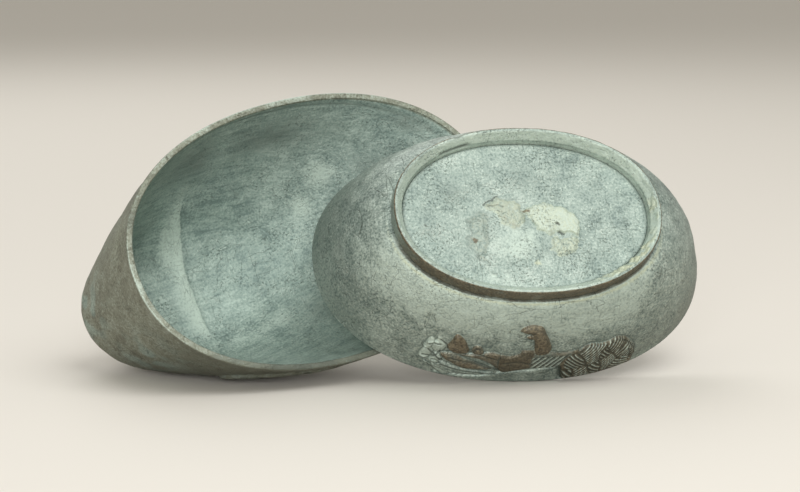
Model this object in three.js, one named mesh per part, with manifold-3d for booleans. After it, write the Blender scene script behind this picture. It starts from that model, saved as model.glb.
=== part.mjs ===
// A small duck-shaped box of cast metal, shown taken apart on a table. The lid is the upper half
// of the duck and lies open, tilted on its side. The base is turned over and leans on the lid.
// All sizes are in millimetres, with +Z up. Each half is modelled the right way up, with its
// mouth in the plane z = 0 and the breast of the duck towards -X, and is then laid on the table.

import * as THREE from 'three';
import { mergeVertices } from 'three/addons/utils/BufferGeometryUtils.js';
import { TessellateModifier } from 'three/addons/modifiers/TessellateModifier.js';
import Module from 'manifold-3d';

const wasm = await Module();
wasm.setup();

// Base: an oval bowl on a foot ring
const mouthHalfLength = 52.5;
const mouthHalfWidth = 34.2;
const bowlDepth = 28.5;
const bowlWall = 2;
const flankDrop = 11.8;
const flankLean = 1.3;
const footHalfLength = 35;
const footHalfWidth = 23;
const footSetBack = 2.1;
const bellyReach = 5.8;
const bellyReachSide = 3.7;
const mouthEdge = 0.45;

// Foot ring, whose thin edge slopes in to a steep wall, and the plate that lies deep inside it
const footHeight = 4.8;
const footRim = 1;
const footSlope = 1.4;
const footSlopeDepth = 2.2;
const footDraft = 0.4;
const footEdge = 0.2;
const plateThickness = 0.6;

// Lid: a wedge-shaped shell, deep at the breast and shallow at the tail
const lidWall = 1.6;
const lidClearance = 0.3;
const lidHeight = 44.5;
const crownLength = 48.3;
const crownHalfWidth = 16.4;
const crownRounding = 7.1;
const breastLean = 1.3;
const backPower = 1.11;
const sidePower = 1.37;
const lidEdge = 0.35;

// Head, neck and bill on the crown of the lid
const headLength = 22;
const headWidth = 15.5;
const headHeight = 14.5;
const headFromBreast = 29.4;
const headLift = 5;
const neckRadius = 8;
const billLength = 14;
const billWidth = 7.4;
const billThickness = 3.4;
const eyeRadius = 1.4;

// Tail and wings on the lid
const tailReach = 8;
const tailRootWidth = 24;
const tailTipWidth = 13;
const tailThickness = 3.2;
const tailRise = 9;
const wingLength = 58;
const wingDepth = 15;
const wingProud = 0.8;
const wingFromBreast = 20.4;
const wingFromMouth = 5;
const wingFacet = 8;

// Low relief on one flank of the base, kept clear of the mouth edge that the base lies on
const reliefProud = 0.9;
const reliefMargin = 2;
const reliefBevel = 0.3;
const reliefFacet = 4.5;
const lobeRadius = 4.3;
const lobePitch = 5.6;
const lobeRowDrop = 4.4;
const lobesStart = 12;
const bandLength = 16.4;
const bandWidth = 4.2;
const bandEnd = 7.6;
const berryRadius = 1.7;

// How the two halves lie on the table, as turns in degrees about X, then Y, then Z
const basePose = { tip: -121.3, roll: 1.4, turn: 12.3 };
const lidPose = { tip: -115.5, roll: -9.8, turn: 31.5 };
const lidAside = 48.8;

// Shared working values
const seatGap = 0.3;
const ovalPower = 2.15;
const ovalSides = 64;

const patina = { color: 0x7d8a84, roughness: 0.62, metalness: 0.55 };
const palePatina = { color: 0x9aa8a2, roughness: 0.7, metalness: 0.4 };
const brownMetal = { color: 0x665446, roughness: 0.5, metalness: 0.6 };

const part = new THREE.Group();
const baseGroup = new THREE.Group();
const lidGroup = new THREE.Group();

// Solids and meshes

function toSolid(geometry) {
  const bare = geometry.clone();
  bare.deleteAttribute('normal');
  bare.deleteAttribute('uv');
  const merged = mergeVertices(bare, 1e-4);
  return new wasm.Manifold(new wasm.Mesh({
    numProp: 3,
    vertProperties: Float32Array.from(merged.attributes.position.array),
    triVerts: Uint32Array.from(merged.index.array),
  }));
}

function toGeometry(solid) {
  const mesh = solid.getMesh();
  const geometry = new THREE.BufferGeometry();
  geometry.setAttribute('position', new THREE.BufferAttribute(Float32Array.from(mesh.vertProperties), 3));
  geometry.setIndex(Array.from(mesh.triVerts));
  geometry.computeVertexNormals();
  return geometry;
}

function addPiece(group, name, geometry, look) {
  const mesh = new THREE.Mesh(geometry, new THREE.MeshStandardMaterial(look));
  mesh.name = name;
  group.add(mesh);
  return mesh;
}

// A closed skin over rings of points. Rings run anticlockwise seen from above, and go up the
// outside and down the inside. A loop joins its last ring to its first, and has no end caps.
function loft(rings, isLoop = false) {
  const sides = rings[0].length;
  const points = rings.flat();
  const faces = [];
  const bands = isLoop ? rings.length : rings.length - 1;
  for (let band = 0; band < bands; band++) {
    const here = band * sides;
    const next = ((band + 1) % rings.length) * sides;
    for (let side = 0; side < sides; side++) {
      const beside = (side + 1) % sides;
      faces.push(here + side, here + beside, next + beside);
      faces.push(here + side, next + beside, next + side);
    }
  }
  if (!isLoop) {
    capRing(points, faces, 0, sides, true);
    capRing(points, faces, (rings.length - 1) * sides, sides, false);
  }
  const geometry = new THREE.BufferGeometry().setFromPoints(points);
  geometry.setIndex(faces);
  geometry.computeVertexNormals();
  return geometry;
}

function capRing(points, faces, first, sides, isFirst) {
  const centre = new THREE.Vector3();
  for (let side = 0; side < sides; side++) centre.add(points[first + side]);
  const middle = points.push(centre.divideScalar(sides)) - 1;
  for (let side = 0; side < sides; side++) {
    const here = first + side;
    const beside = first + (side + 1) % sides;
    if (isFirst) faces.push(middle, beside, here);
    else faces.push(middle, here, beside);
  }
}

// Every plan outline is one slightly squared oval
function ovalRing(halfLength, halfWidth, z, centreX = 0, sides = ovalSides) {
  const ring = [];
  for (let side = 0; side < sides; side++) {
    const angle = (2 * Math.PI * side) / sides;
    const along = Math.cos(angle);
    const across = Math.sin(angle);
    ring.push(new THREE.Vector3(
      centreX + halfLength * Math.sign(along) * Math.abs(along) ** (2 / ovalPower),
      halfWidth * Math.sign(across) * Math.abs(across) ** (2 / ovalPower),
      z,
    ));
  }
  return ring;
}

// Half width of an oval section at a given x, for laying relief on a flank
function ovalWidthAt(section, x) {
  const along = Math.min(1, Math.abs((x - section.centreX) / section.halfLength));
  return section.halfWidth * (1 - along ** ovalPower) ** (1 / ovalPower);
}

// The bowl

// Half length, half width and height along the wall, from the mouth down to the foot ring
function bowlProfile(inset, floorRise) {
  return new THREE.CubicBezierCurve3(
    new THREE.Vector3(mouthHalfLength - inset, mouthHalfWidth - inset, 0),
    new THREE.Vector3(
      mouthHalfLength - flankLean - inset,
      mouthHalfWidth - flankLean * (mouthHalfWidth / mouthHalfLength) - inset,
      -flankDrop,
    ),
    new THREE.Vector3(
      footHalfLength + bellyReach - inset,
      footHalfWidth + bellyReachSide - inset,
      -bowlDepth + floorRise,
    ),
    new THREE.Vector3(footHalfLength - inset, footHalfWidth - inset, -bowlDepth + floorRise),
  );
}

// The foot sits a little towards the breast, and the wall leans over to meet it
function centreShift(halfLength, mouthLength) {
  return -footSetBack * (mouthLength - halfLength) / (mouthHalfLength - footHalfLength);
}

const outerProfile = bowlProfile(0, 0);
const innerProfile = bowlProfile(bowlWall, bowlWall);

function bowlRing(profile, share, mouthLength) {
  const point = profile.getPoint(share);
  return ovalRing(point.x, point.y, point.z, centreShift(point.x, mouthLength));
}

// The outside section of the bowl at a height, found by halving
function bowlSection(z) {
  let near = 0;
  let far = 1;
  for (let step = 0; step < 30; step++) {
    const middle = (near + far) / 2;
    if (outerProfile.getPoint(middle).z > z) near = middle;
    else far = middle;
  }
  const point = outerProfile.getPoint(near);
  return {
    halfLength: point.x,
    halfWidth: point.y,
    centreX: centreShift(point.x, mouthHalfLength),
  };
}

function makeBowl() {
  const steps = 10;
  const edge = mouthEdge;
  const rings = [];
  for (let step = steps; step > 0; step--) rings.push(bowlRing(outerProfile, step / steps, mouthHalfLength));
  rings.push(ovalRing(mouthHalfLength, mouthHalfWidth, -edge));
  rings.push(ovalRing(mouthHalfLength - edge, mouthHalfWidth - edge, 0));
  const insideLength = mouthHalfLength - bowlWall;
  const insideWidth = mouthHalfWidth - bowlWall;
  rings.push(ovalRing(insideLength + edge, insideWidth + edge, 0));
  rings.push(ovalRing(insideLength, insideWidth, -edge));
  for (let step = 1; step <= steps; step++) rings.push(bowlRing(innerProfile, step / steps, insideLength));
  return loft(rings);
}

// The foot

function footOval(inset, z) {
  return ovalRing(footHalfLength - inset, footHalfWidth - inset, z, -footSetBack);
}

const footSeat = -bowlDepth - seatGap;
const footWall = footRim + footSlope + footDraft;

function makeFootRing() {
  const rest = -bowlDepth - footHeight;
  const edge = footEdge;
  return loft([
    footOval(edge, rest),
    footOval(0, rest + edge),
    footOval(0, footSeat - edge),
    footOval(edge, footSeat),
    footOval(footWall, footSeat),
    footOval(footRim + footSlope, rest + footSlopeDepth),
    footOval(footRim, rest + edge),
    footOval(footRim - edge, rest),
  ], true);
}

// The plate is soldered to the bottom of the bowl, inside the ring
function makeFootPlate() {
  return loft([
    footOval(footWall + seatGap, footSeat - plateThickness),
    footOval(footWall + seatGap, footSeat),
  ]);
}

// The lid

const lidHalfLength = mouthHalfLength + lidClearance + lidWall;
const lidHalfWidth = mouthHalfWidth + lidClearance + lidWall;

// The outside section of the lid at a height: the breast stays steep, the back slopes to the tail
function lidSection(z, grow = 0) {
  const share = THREE.MathUtils.clamp(z / lidHeight, 0, 1);
  const roundFrom = lidHeight - crownRounding;
  const over = THREE.MathUtils.clamp((z - roundFrom) / crownRounding, 0, 1);
  const pullIn = crownRounding * (1 - Math.sqrt(1 - over * over)) - grow;
  const breast = -lidHalfLength - breastLean * share + pullIn;
  const back = lidHalfLength - (2 * lidHalfLength - crownLength) * share ** backPower - pullIn;
  return {
    halfLength: (back - breast) / 2,
    halfWidth: lidHalfWidth - (lidHalfWidth - crownHalfWidth) * share ** sidePower - pullIn,
    centreX: (back + breast) / 2,
  };
}

function sectionRing(section, z, inset = 0) {
  return ovalRing(section.halfLength - inset, section.halfWidth - inset, z, section.centreX);
}

// Heights for the lid's rings, closer together where the crown rounds over
function lidHeights() {
  const wallSteps = 8;
  const crownSteps = 5;
  const heights = [];
  const roundFrom = lidHeight - crownRounding;
  for (let step = 1; step <= wallSteps; step++) heights.push(roundFrom * step / wallSteps);
  for (let step = 1; step <= crownSteps; step++) {
    heights.push(roundFrom + crownRounding * Math.sin((Math.PI / 2) * step / crownSteps));
  }
  return heights;
}

// The inside follows the outside one wall lower and one wall further in
function insideSection(z) {
  const blend = Math.min(1, z / (4 * lidWall));
  return lidSection(z + lidWall * blend);
}

function makeLidShell() {
  const edge = lidEdge;
  const heights = lidHeights();
  const rings = [];
  for (const height of [...heights].reverse()) {
    const z = height * (lidHeight - lidWall) / lidHeight;
    rings.push(sectionRing(insideSection(z), z, lidWall));
  }
  rings.push(ovalRing(lidHalfLength - lidWall, lidHalfWidth - lidWall, edge));
  rings.push(ovalRing(lidHalfLength - lidWall + edge, lidHalfWidth - lidWall + edge, 0));
  rings.push(ovalRing(lidHalfLength - edge, lidHalfWidth - edge, 0));
  rings.push(ovalRing(lidHalfLength, lidHalfWidth, edge));
  for (const height of heights) rings.push(sectionRing(lidSection(height), height));
  return loft(rings);
}

// The lid's outside grown by the seat gap, for cutting what is soldered onto it
function lidCutter() {
  const rings = [ovalRing(lidHalfLength + seatGap, lidHalfWidth + seatGap, -seatGap)];
  rings.push(ovalRing(lidHalfLength + seatGap, lidHalfWidth + seatGap, seatGap));
  for (const height of lidHeights()) {
    rings.push(sectionRing(lidSection(height, seatGap), height + seatGap));
  }
  return toSolid(loft(rings));
}

// Head, bill and tail

function ellipsoid(length, width, height, x, y, z, detail = 20) {
  const geometry = new THREE.SphereGeometry(1, detail, Math.round(detail * 0.6));
  geometry.scale(length / 2, width / 2, height / 2);
  geometry.translate(x, y, z);
  return toSolid(geometry);
}

// A bar along a smooth curve in the duck's middle plane, closed at both ends. Its half width
// follows a rule, and its thickness is the width times the flatness.
function taperedBar(curve, halfWidthAt, flatness = 1, steps = 10, sides = 16) {
  const across = new THREE.Vector3(0, 1, 0);
  const rings = [];
  for (let step = 0; step <= steps; step++) {
    const share = step / steps;
    const centre = curve.getPointAt(share);
    const upright = curve.getTangentAt(share).cross(across);
    const halfWidth = halfWidthAt(share);
    const ring = [];
    for (let side = 0; side < sides; side++) {
      const angle = (2 * Math.PI * side) / sides;
      ring.push(centre.clone()
        .addScaledVector(across, halfWidth * Math.cos(angle))
        .addScaledVector(upright, halfWidth * Math.sin(angle) * flatness));
    }
    rings.push(ring);
  }
  return toSolid(loft(rings));
}

const crownTop = lidHeight;
const headCentre = new THREE.Vector3(headFromBreast - lidHalfLength, 0, crownTop + headLift);

// The duck sleeps: its neck rises from the breast and its head lies turned back along its back
function makeHead(cutter) {
  const neckFoot = headCentre.x - headLength * 0.62;
  const neckLine = new THREE.QuadraticBezierCurve3(
    new THREE.Vector3(neckFoot, 0, crownTop - crownRounding),
    new THREE.Vector3(neckFoot - neckRadius * 0.3, 0, crownTop + headLift * 0.6),
    headCentre,
  );
  const neck = taperedBar(neckLine, (share) => neckRadius * (1.15 - 0.3 * share));
  const skull = ellipsoid(headLength, headWidth, headHeight, headCentre.x, 0, headCentre.z);
  return toGeometry(skull.add(neck).subtract(cutter));
}

function billLine() {
  const start = headCentre.x + headLength * 0.5 + seatGap;
  return new THREE.QuadraticBezierCurve3(
    new THREE.Vector3(start, 0, headCentre.z - headHeight * 0.08),
    new THREE.Vector3(start + billLength * 0.5, 0, headCentre.z - headHeight * 0.2),
    new THREE.Vector3(start + billLength, 0, headCentre.z - headHeight * 0.32),
  );
}

function makeBill(headSolid, lidSolid) {
  const flatness = billThickness / billWidth;
  const width = (share) => (billWidth / 2) * (0.82 + 0.3 * share) * Math.sqrt(1.02 - share ** 6);
  return toGeometry(taperedBar(billLine(), width, flatness).subtract(headSolid).subtract(lidSolid));
}

function makeEye(side, headSolid) {
  const x = headCentre.x + headLength * 0.2;
  const z = headCentre.z + headHeight * 0.18;
  const y = side * headWidth * 0.42;
  const bead = ellipsoid(2 * eyeRadius, 2 * eyeRadius, 2 * eyeRadius, x, y, z, 12);
  return toGeometry(bead.subtract(headSolid));
}

// The head grown by the seat gap, for cutting the bill and the eyes
function headCutter() {
  const grow = 2 * seatGap;
  return ellipsoid(
    headLength + grow, headWidth + grow, headHeight + grow, headCentre.x, 0, headCentre.z, 24,
  );
}

function makeTail(cutter) {
  const root = lidHalfLength - tailRootWidth * 0.5;
  const tip = lidHalfLength + tailReach;
  const line = new THREE.QuadraticBezierCurve3(
    new THREE.Vector3(root, 0, tailThickness),
    new THREE.Vector3((root + tip) / 2, 0, tailThickness + seatGap),
    new THREE.Vector3(tip, 0, tailRise),
  );
  const flatness = (tailThickness / tailRootWidth) * 1.15;
  const width = (share) => {
    const half = THREE.MathUtils.lerp(tailRootWidth, tailTipWidth, share) / 2;
    return half * Math.sqrt(1.02 - share ** 8);
  };
  return toGeometry(taperedBar(line, width, flatness, 10, 24).subtract(cutter));
}

// Relief laid on a curved flank: a flat outline with x along the duck and y as the height, given
// a thickness and bent onto the flank
function layOnFlank(shape, proud, surfacePoint, longestEdge = reliefFacet) {
  const bevel = reliefBevel;
  const flat = new THREE.ExtrudeGeometry(shape, {
    depth: proud - bevel,
    bevelEnabled: true,
    bevelThickness: bevel,
    bevelSize: bevel,
    bevelOffset: -bevel,
    bevelSegments: 1,
    curveSegments: 5,
  });
  const geometry = new TessellateModifier(longestEdge, 12).modify(flat);
  const position = geometry.attributes.position;
  const lowest = -bevel;
  for (let index = 0; index < position.count; index++) {
    const lift = position.getZ(index) <= lowest + 1e-6 ? 0 : position.getZ(index);
    const point = surfacePoint(position.getX(index), position.getY(index), seatGap + lift);
    position.setXYZ(index, point.x, point.y, point.z);
  }
  return toSolid(turnFacesOver(geometry));
}

// Swapping height for depth mirrors a piece, so its triangles are turned over again
function turnFacesOver(geometry) {
  const merged = mergeVertices(geometry.deleteAttribute('normal').deleteAttribute('uv'), 1e-4);
  const index = merged.index;
  for (let corner = 0; corner < index.count; corner += 3) {
    const kept = index.getX(corner + 1);
    index.setX(corner + 1, index.getX(corner + 2));
    index.setX(corner + 2, kept);
  }
  return merged;
}

// A point on the bowl's decorated flank, lifted off it along its own normal
function bowlFlank(x, z, lift) {
  return flankPoint(bowlSection, x, z, lift, 1);
}

function flankPoint(sectionAt, x, z, lift, side) {
  const nudge = 0.2;
  const widthAt = (px, pz) => ovalWidthAt(sectionAt(pz), px);
  const y = widthAt(x, z);
  const normal = new THREE.Vector3(
    (widthAt(x - nudge, z) - widthAt(x + nudge, z)) / (2 * nudge),
    1,
    (widthAt(x, z - nudge) - widthAt(x, z + nudge)) / (2 * nudge),
  ).normalize();
  return new THREE.Vector3(x, y, z).addScaledVector(normal, lift).multiply(new THREE.Vector3(1, side, 1));
}

function circleShape(x, z, radius) {
  const shape = new THREE.Shape();
  shape.absarc(x, z, radius, 0, 2 * Math.PI, false);
  return shape;
}

function splineShape(points, fineness = 3) {
  const shape = new THREE.Shape();
  const line = new THREE.SplineCurve([...points, points[0]].map(([x, z]) => new THREE.Vector2(x, z)));
  shape.setFromPoints(line.getPoints(points.length * fineness).slice(0, -1));
  return shape;
}

// An outline on the bowl's flank: how far along as a share of the mouth's half length, and how
// far down from the mouth edge as a share of the bowl's depth
function onFlank(along, down) {
  return [along * mouthHalfLength, -down * bowlDepth];
}

function flankShape(shares) {
  return splineShape(shares.map(([along, down]) => onFlank(along, down)), 2);
}

// Overlapping rounded feather lobes in two rows that climb away from the mouth edge
function makePlumage() {
  const firstRow = -lobeRadius - reliefMargin;
  const lobesInRow = 3;
  let plumage = null;
  for (let row = 0; row < 2; row++) {
    for (let step = 0; step < lobesInRow; step++) {
      const x = lobesStart + (row * 0.6 + step) * lobePitch;
      const z = firstRow - row * lobeRowDrop;
      const proud = reliefProud * (1 - 0.14 * ((row + step) % 3));
      const lobe = layOnFlank(circleShape(x, z, lobeRadius), proud, bowlFlank);
      plumage = plumage ? plumage.add(lobe) : lobe;
    }
  }
  return toGeometry(plumage);
}

// A little bird that swims towards the breast: its body, and its neck and head with the bill
function makeBird() {
  const body = layOnFlank(flankShape([
    [-0.12, 0.41], [-0.06, 0.46], [-0.05, 0.51], [0.02, 0.51], [0.09, 0.48], [0.13, 0.45],
    [0.13, 0.28], [0.01, 0.26], [-0.11, 0.23],
  ]), reliefProud * 0.8, bowlFlank);
  const neckAndHead = layOnFlank(flankShape([
    [-0.09, 0.74], [-0.08, 0.78], [-0.04, 0.81], [0, 0.81], [0.03, 0.78], [0.05, 0.7],
    [0.07, 0.62], [0.09, 0.49], [0.02, 0.48], [0, 0.6], [-0.01, 0.67], [-0.05, 0.71],
  ]), reliefProud, bowlFlank);
  return toGeometry(body.add(neckAndHead));
}

// A spray of water plants: long leaves, a crumpled end leaf, a bud and a berry
function makeSpray() {
  const longLeaf = flankShape([
    [-0.46, 0.34], [-0.4, 0.42], [-0.33, 0.4], [-0.25, 0.36], [-0.15, 0.24], [-0.26, 0.19],
    [-0.33, 0.18], [-0.38, 0.22], [-0.44, 0.28],
  ]);
  const topLeaf = flankShape([
    [-0.3, 0.38], [-0.26, 0.45], [-0.18, 0.46], [-0.15, 0.42], [-0.14, 0.28], [-0.19, 0.25],
    [-0.26, 0.3],
  ]);
  const lowLeaf = flankShape([
    [-0.46, 0.24], [-0.4, 0.24], [-0.32, 0.21], [-0.2, 0.19], [-0.19, 0.14], [-0.32, 0.11],
    [-0.42, 0.14],
  ]);
  const endLeaf = flankShape([
    [-0.53, 0.23], [-0.52, 0.34], [-0.51, 0.45], [-0.49, 0.51], [-0.45, 0.51], [-0.41, 0.42],
    [-0.42, 0.34], [-0.45, 0.24],
  ]);
  const bud = flankShape([
    [-0.42, 0.44], [-0.4, 0.54], [-0.38, 0.62], [-0.35, 0.58], [-0.32, 0.5], [-0.33, 0.42],
    [-0.38, 0.38],
  ]);
  const berry = circleShape(...onFlank(-0.27, 0.49), berryRadius);
  let spray = null;
  [longLeaf, topLeaf, lowLeaf, endLeaf, bud, berry].forEach((outline, index) => {
    const leaf = layOnFlank(outline, reliefProud * (1 - 0.1 * (index % 3)), bowlFlank);
    spray = spray ? spray.add(leaf) : leaf;
  });
  return toGeometry(spray);
}

// The plain smooth band between the relief and the mouth edge, with one rounded end
function makeBand() {
  const top = -reliefMargin;
  const corner = bandWidth / 4;
  const shape = new THREE.Shape();
  shape.moveTo(bandEnd - bandLength, top - bandWidth * 0.25);
  shape.lineTo(bandEnd - bandLength * 0.9, top - bandWidth * 0.55);
  shape.lineTo(bandEnd - corner, top - bandWidth);
  shape.quadraticCurveTo(bandEnd, top - bandWidth, bandEnd, top - bandWidth + corner);
  shape.lineTo(bandEnd, top - corner);
  shape.quadraticCurveTo(bandEnd, top, bandEnd - corner, top);
  shape.lineTo(bandEnd - bandLength * 0.96, top);
  shape.closePath();
  return toGeometry(layOnFlank(shape, reliefProud * 0.6, bowlFlank));
}

// A wing folded along each side of the lid
function makeWing(side) {
  const shoulder = wingFromBreast - lidHalfLength;
  const low = wingFromMouth;
  const high = low + wingDepth;
  const shape = splineShape([
    [shoulder, high - 2], [shoulder + wingLength * 0.3, high],
    [shoulder + wingLength * 0.7, low + wingDepth * 0.55], [shoulder + wingLength, low + 1.5],
    [shoulder + wingLength * 0.6, low], [shoulder + wingLength * 0.15, low + wingDepth * 0.2],
  ]);
  const onLid = (x, z, lift) => flankPoint(lidSection, x, z, lift, 1);
  const solid = layOnFlank(shape, wingProud, onLid, wingFacet);
  return toGeometry(side > 0 ? solid : solid.mirror([0, 1, 0]));
}

// Laying the two halves on the table

function lay(group, pose) {
  group.rotation.set(
    THREE.MathUtils.degToRad(pose.tip),
    THREE.MathUtils.degToRad(pose.roll),
    THREE.MathUtils.degToRad(pose.turn),
    'ZYX',
  );
  group.updateMatrixWorld(true);
  group.position.z -= new THREE.Box3().setFromObject(group, true).min.z;
  group.updateMatrixWorld(true);
}

function worldSolid(group, name) {
  const mesh = group.getObjectByName(name);
  return toSolid(mesh.geometry.clone().applyMatrix4(mesh.matrixWorld));
}

// Brings the base up to the lid along Y until the two shells just meet, less the seat gap
function leanBaseOnLid() {
  const lidShell = worldSolid(lidGroup, 'lid_shell');
  const bowl = worldSolid(baseGroup, 'base_bowl');
  const meets = (shift) => lidShell.intersect(bowl.translate([0, shift, 0])).volume() > 0;
  const stride = 1;
  let clear = -mouthHalfLength;
  while (!meets(clear + stride)) clear += stride;
  let touching = clear + stride;
  while (touching - clear > 0.01) {
    const middle = (clear + touching) / 2;
    if (meets(middle)) touching = middle;
    else clear = middle;
  }
  baseGroup.position.y += clear - 1.5 * seatGap;
}

addPiece(baseGroup, 'base_bowl', makeBowl(), patina);
addPiece(baseGroup, 'foot_ring', makeFootRing(), brownMetal);
addPiece(baseGroup, 'foot_plate', makeFootPlate(), palePatina);
addPiece(baseGroup, 'plumage_relief', makePlumage(), brownMetal);
addPiece(baseGroup, 'bird_relief', makeBird(), brownMetal);
addPiece(baseGroup, 'spray_relief', makeSpray(), patina);
addPiece(baseGroup, 'flank_band', makeBand(), patina);

const cutter = lidCutter();
const skullCutter = headCutter();
addPiece(lidGroup, 'lid_shell', makeLidShell(), patina);
addPiece(lidGroup, 'head', makeHead(cutter), patina);
addPiece(lidGroup, 'bill', makeBill(skullCutter, cutter), brownMetal);
addPiece(lidGroup, 'eye_left', makeEye(1, skullCutter), brownMetal);
addPiece(lidGroup, 'eye_right', makeEye(-1, skullCutter), brownMetal);
addPiece(lidGroup, 'tail', makeTail(cutter), patina);
addPiece(lidGroup, 'wing_left', makeWing(1), patina);
addPiece(lidGroup, 'wing_right', makeWing(-1), patina);

lidGroup.position.x = -lidAside;
lay(baseGroup, basePose);
lay(lidGroup, lidPose);
leanBaseOnLid();
part.add(baseGroup, lidGroup);
part.updateMatrixWorld(true);
const box = new THREE.Box3().setFromObject(part, true);
const middle = box.getCenter(new THREE.Vector3());
for (const group of [baseGroup, lidGroup]) {
  group.position.x -= middle.x;
  group.position.y -= middle.y;
}

export default part;
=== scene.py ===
"""A small duck-shaped box of aged cast metal, taken apart on a pale table.

Sizes are in millimetres, in the local frame of each half: x along the duck with the breast at -x,
z up from the mouth. Each half is built the right way up and then laid down as the frame has it.
"""
import math

import bpy
import numpy as np
from mathutils import Matrix, Vector


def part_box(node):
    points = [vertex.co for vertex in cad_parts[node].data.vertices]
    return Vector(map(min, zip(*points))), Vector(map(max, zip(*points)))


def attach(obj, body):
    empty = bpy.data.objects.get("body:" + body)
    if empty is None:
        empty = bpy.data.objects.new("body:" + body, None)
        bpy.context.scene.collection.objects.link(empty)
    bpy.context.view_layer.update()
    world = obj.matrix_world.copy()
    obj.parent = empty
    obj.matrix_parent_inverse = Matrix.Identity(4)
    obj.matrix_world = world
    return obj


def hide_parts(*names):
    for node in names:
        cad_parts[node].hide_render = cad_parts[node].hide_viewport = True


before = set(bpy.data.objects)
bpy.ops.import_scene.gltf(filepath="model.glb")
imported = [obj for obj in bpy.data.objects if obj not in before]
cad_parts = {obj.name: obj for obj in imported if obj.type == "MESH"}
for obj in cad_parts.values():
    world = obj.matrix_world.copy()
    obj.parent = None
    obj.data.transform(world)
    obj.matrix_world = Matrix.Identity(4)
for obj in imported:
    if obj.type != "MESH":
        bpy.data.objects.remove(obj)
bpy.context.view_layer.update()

MM = 0.001
FAR_AWAY = 1e9

# The base: an oval bowl on a foot ring with a plate inside it
MOUTH_LENGTH, MOUTH_WIDTH = 52.5, 34.2
BOWL_DEPTH, BOWL_WALL = 28.5, 2.0
FLANK_DROP, FLANK_LEAN = 11.8, 1.3
FOOT_LENGTH, FOOT_WIDTH, FOOT_SET_BACK = 35.0, 23.0, 2.1
BELLY_REACH, BELLY_REACH_SIDE = 5.8, 3.7
MOUTH_EDGE = 0.45
FOOT_HEIGHT, FOOT_RIM, FOOT_SLOPE, FOOT_SLOPE_DEPTH = 4.8, 1.0, 1.4, 2.2
FOOT_DRAFT, FOOT_EDGE, PLATE_THICKNESS, PLATE_GAP = 0.4, 0.2, 0.6, 0.02

# The lid: a wedge-shaped shell
LID_WALL, LID_CLEARANCE, LID_HEIGHT = 1.6, 0.3, 44.5
CROWN_LENGTH, CROWN_WIDTH, CROWN_ROUNDING = 48.3, 16.4, 7.1
BREAST_LEAN, BACK_POWER, SIDE_POWER = 1.3, 1.11, 1.37
LID_EDGE = 0.35
LID_LENGTH = MOUTH_LENGTH + LID_CLEARANCE + LID_WALL
LID_WIDTH = MOUTH_WIDTH + LID_CLEARANCE + LID_WALL

# Head, bill, eyes, tail and wings
HEAD_LENGTH, HEAD_WIDTH, HEAD_HEIGHT = 22.0, 15.5, 14.5
HEAD_X, HEAD_Z = 29.4 - LID_LENGTH, LID_HEIGHT + 5.0
NECK_RADIUS = 8.0
BILL_LENGTH, BILL_WIDTH, BILL_THICKNESS = 14.0, 7.4, 3.4
EYE_RADIUS, SOCKET_RADIUS = 1.4, 2.1
EYE_X, EYE_Z = HEAD_X + HEAD_LENGTH * 0.2, HEAD_Z + HEAD_HEIGHT * 0.18
TAIL_REACH, TAIL_ROOT, TAIL_TIP, TAIL_THICKNESS, TAIL_RISE = 8.0, 24.0, 13.0, 3.2, 9.0
WING_LENGTH, WING_DEPTH, WING_PROUD = 58.0, 15.0, 0.8
WING_X, WING_Z = 20.4 - LID_LENGTH, 5.0

OVAL_POWER = 2.15
SEAT_GAP = 0.3
# The frame's solids have flat sides that lie this far inside the true oval
FACET_SAG = 0.09

# How the two halves lie, as turns in degrees about X, then Y, then Z
BASE_POSE = (-121.3, 1.4, 12.3)
LID_POSE = (-115.5, -9.8, 31.5)

# Sides of the meshes of the foot ring and the lid's shell, and sides and rings of the foot plate
RING_SIDES, PLATE_SIDES, PLATE_RINGS = 440, 400, 108

# Point attributes: the place in the half's own frame, in millimetres, and masks from 0 to 1
OWN_PLACE = "own_place"
MASKS = ("brown", "pale", "dark", "yellow", "inner")


# Camera

CAMERA_ASIDE = -28.4
CAMERA_BACK = 590.9
CAMERA_HEIGHT = 121.0
CAMERA_PITCH = 7.955
CAMERA_LENS = 108.0
SENSOR_WIDTH = 36.0


def make_camera():
    low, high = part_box("base_bowl")
    data = bpy.data.cameras.new("camera")
    data.lens = CAMERA_LENS
    data.sensor_width = SENSOR_WIDTH
    data.clip_end = 20.0
    camera = linked("camera", data)
    camera.location = (
        (low.x + high.x) / 2 + CAMERA_ASIDE * MM,
        low.y - CAMERA_BACK * MM,
        CAMERA_HEIGHT * MM,
    )
    camera.rotation_euler = (math.radians(90 - CAMERA_PITCH), 0, 0)
    bpy.context.scene.camera = camera


# Shape helpers

def linked(name, data):
    """A new object in the scene."""
    made = bpy.data.objects.new(name, data)
    bpy.context.scene.collection.objects.link(made)
    return made


def turned(pose):
    """The turn of one half, from its degrees about X, Y and Z."""
    tip, roll, turn = (math.radians(angle) for angle in pose)
    return Matrix.Rotation(turn, 3, "Z") @ Matrix.Rotation(roll, 3, "Y") @ Matrix.Rotation(tip, 3, "X")


def oval(half_length, half_width, z, centre_x, angles):
    """One ring of the slightly squared oval that every plan outline has."""
    along, across = np.cos(angles), np.sin(angles)
    power = 2 / OVAL_POWER
    x = centre_x + (half_length - FACET_SAG) * np.sign(along) * np.abs(along) ** power
    y = (half_width - FACET_SAG) * np.sign(across) * np.abs(across) ** power
    return np.stack([x, y, np.full_like(x, z)], -1)


def around(count):
    """Angles of evenly spaced points round a ring."""
    return np.linspace(0, 2 * math.pi, count, endpoint=False)


def smooth(low, high, value):
    """Rises smoothly from 0 at low to 1 at high, or falls where low is the greater."""
    share = np.clip((value - low) / (high - low), 0, 1)
    return share * share * (3 - 2 * share)


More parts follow.
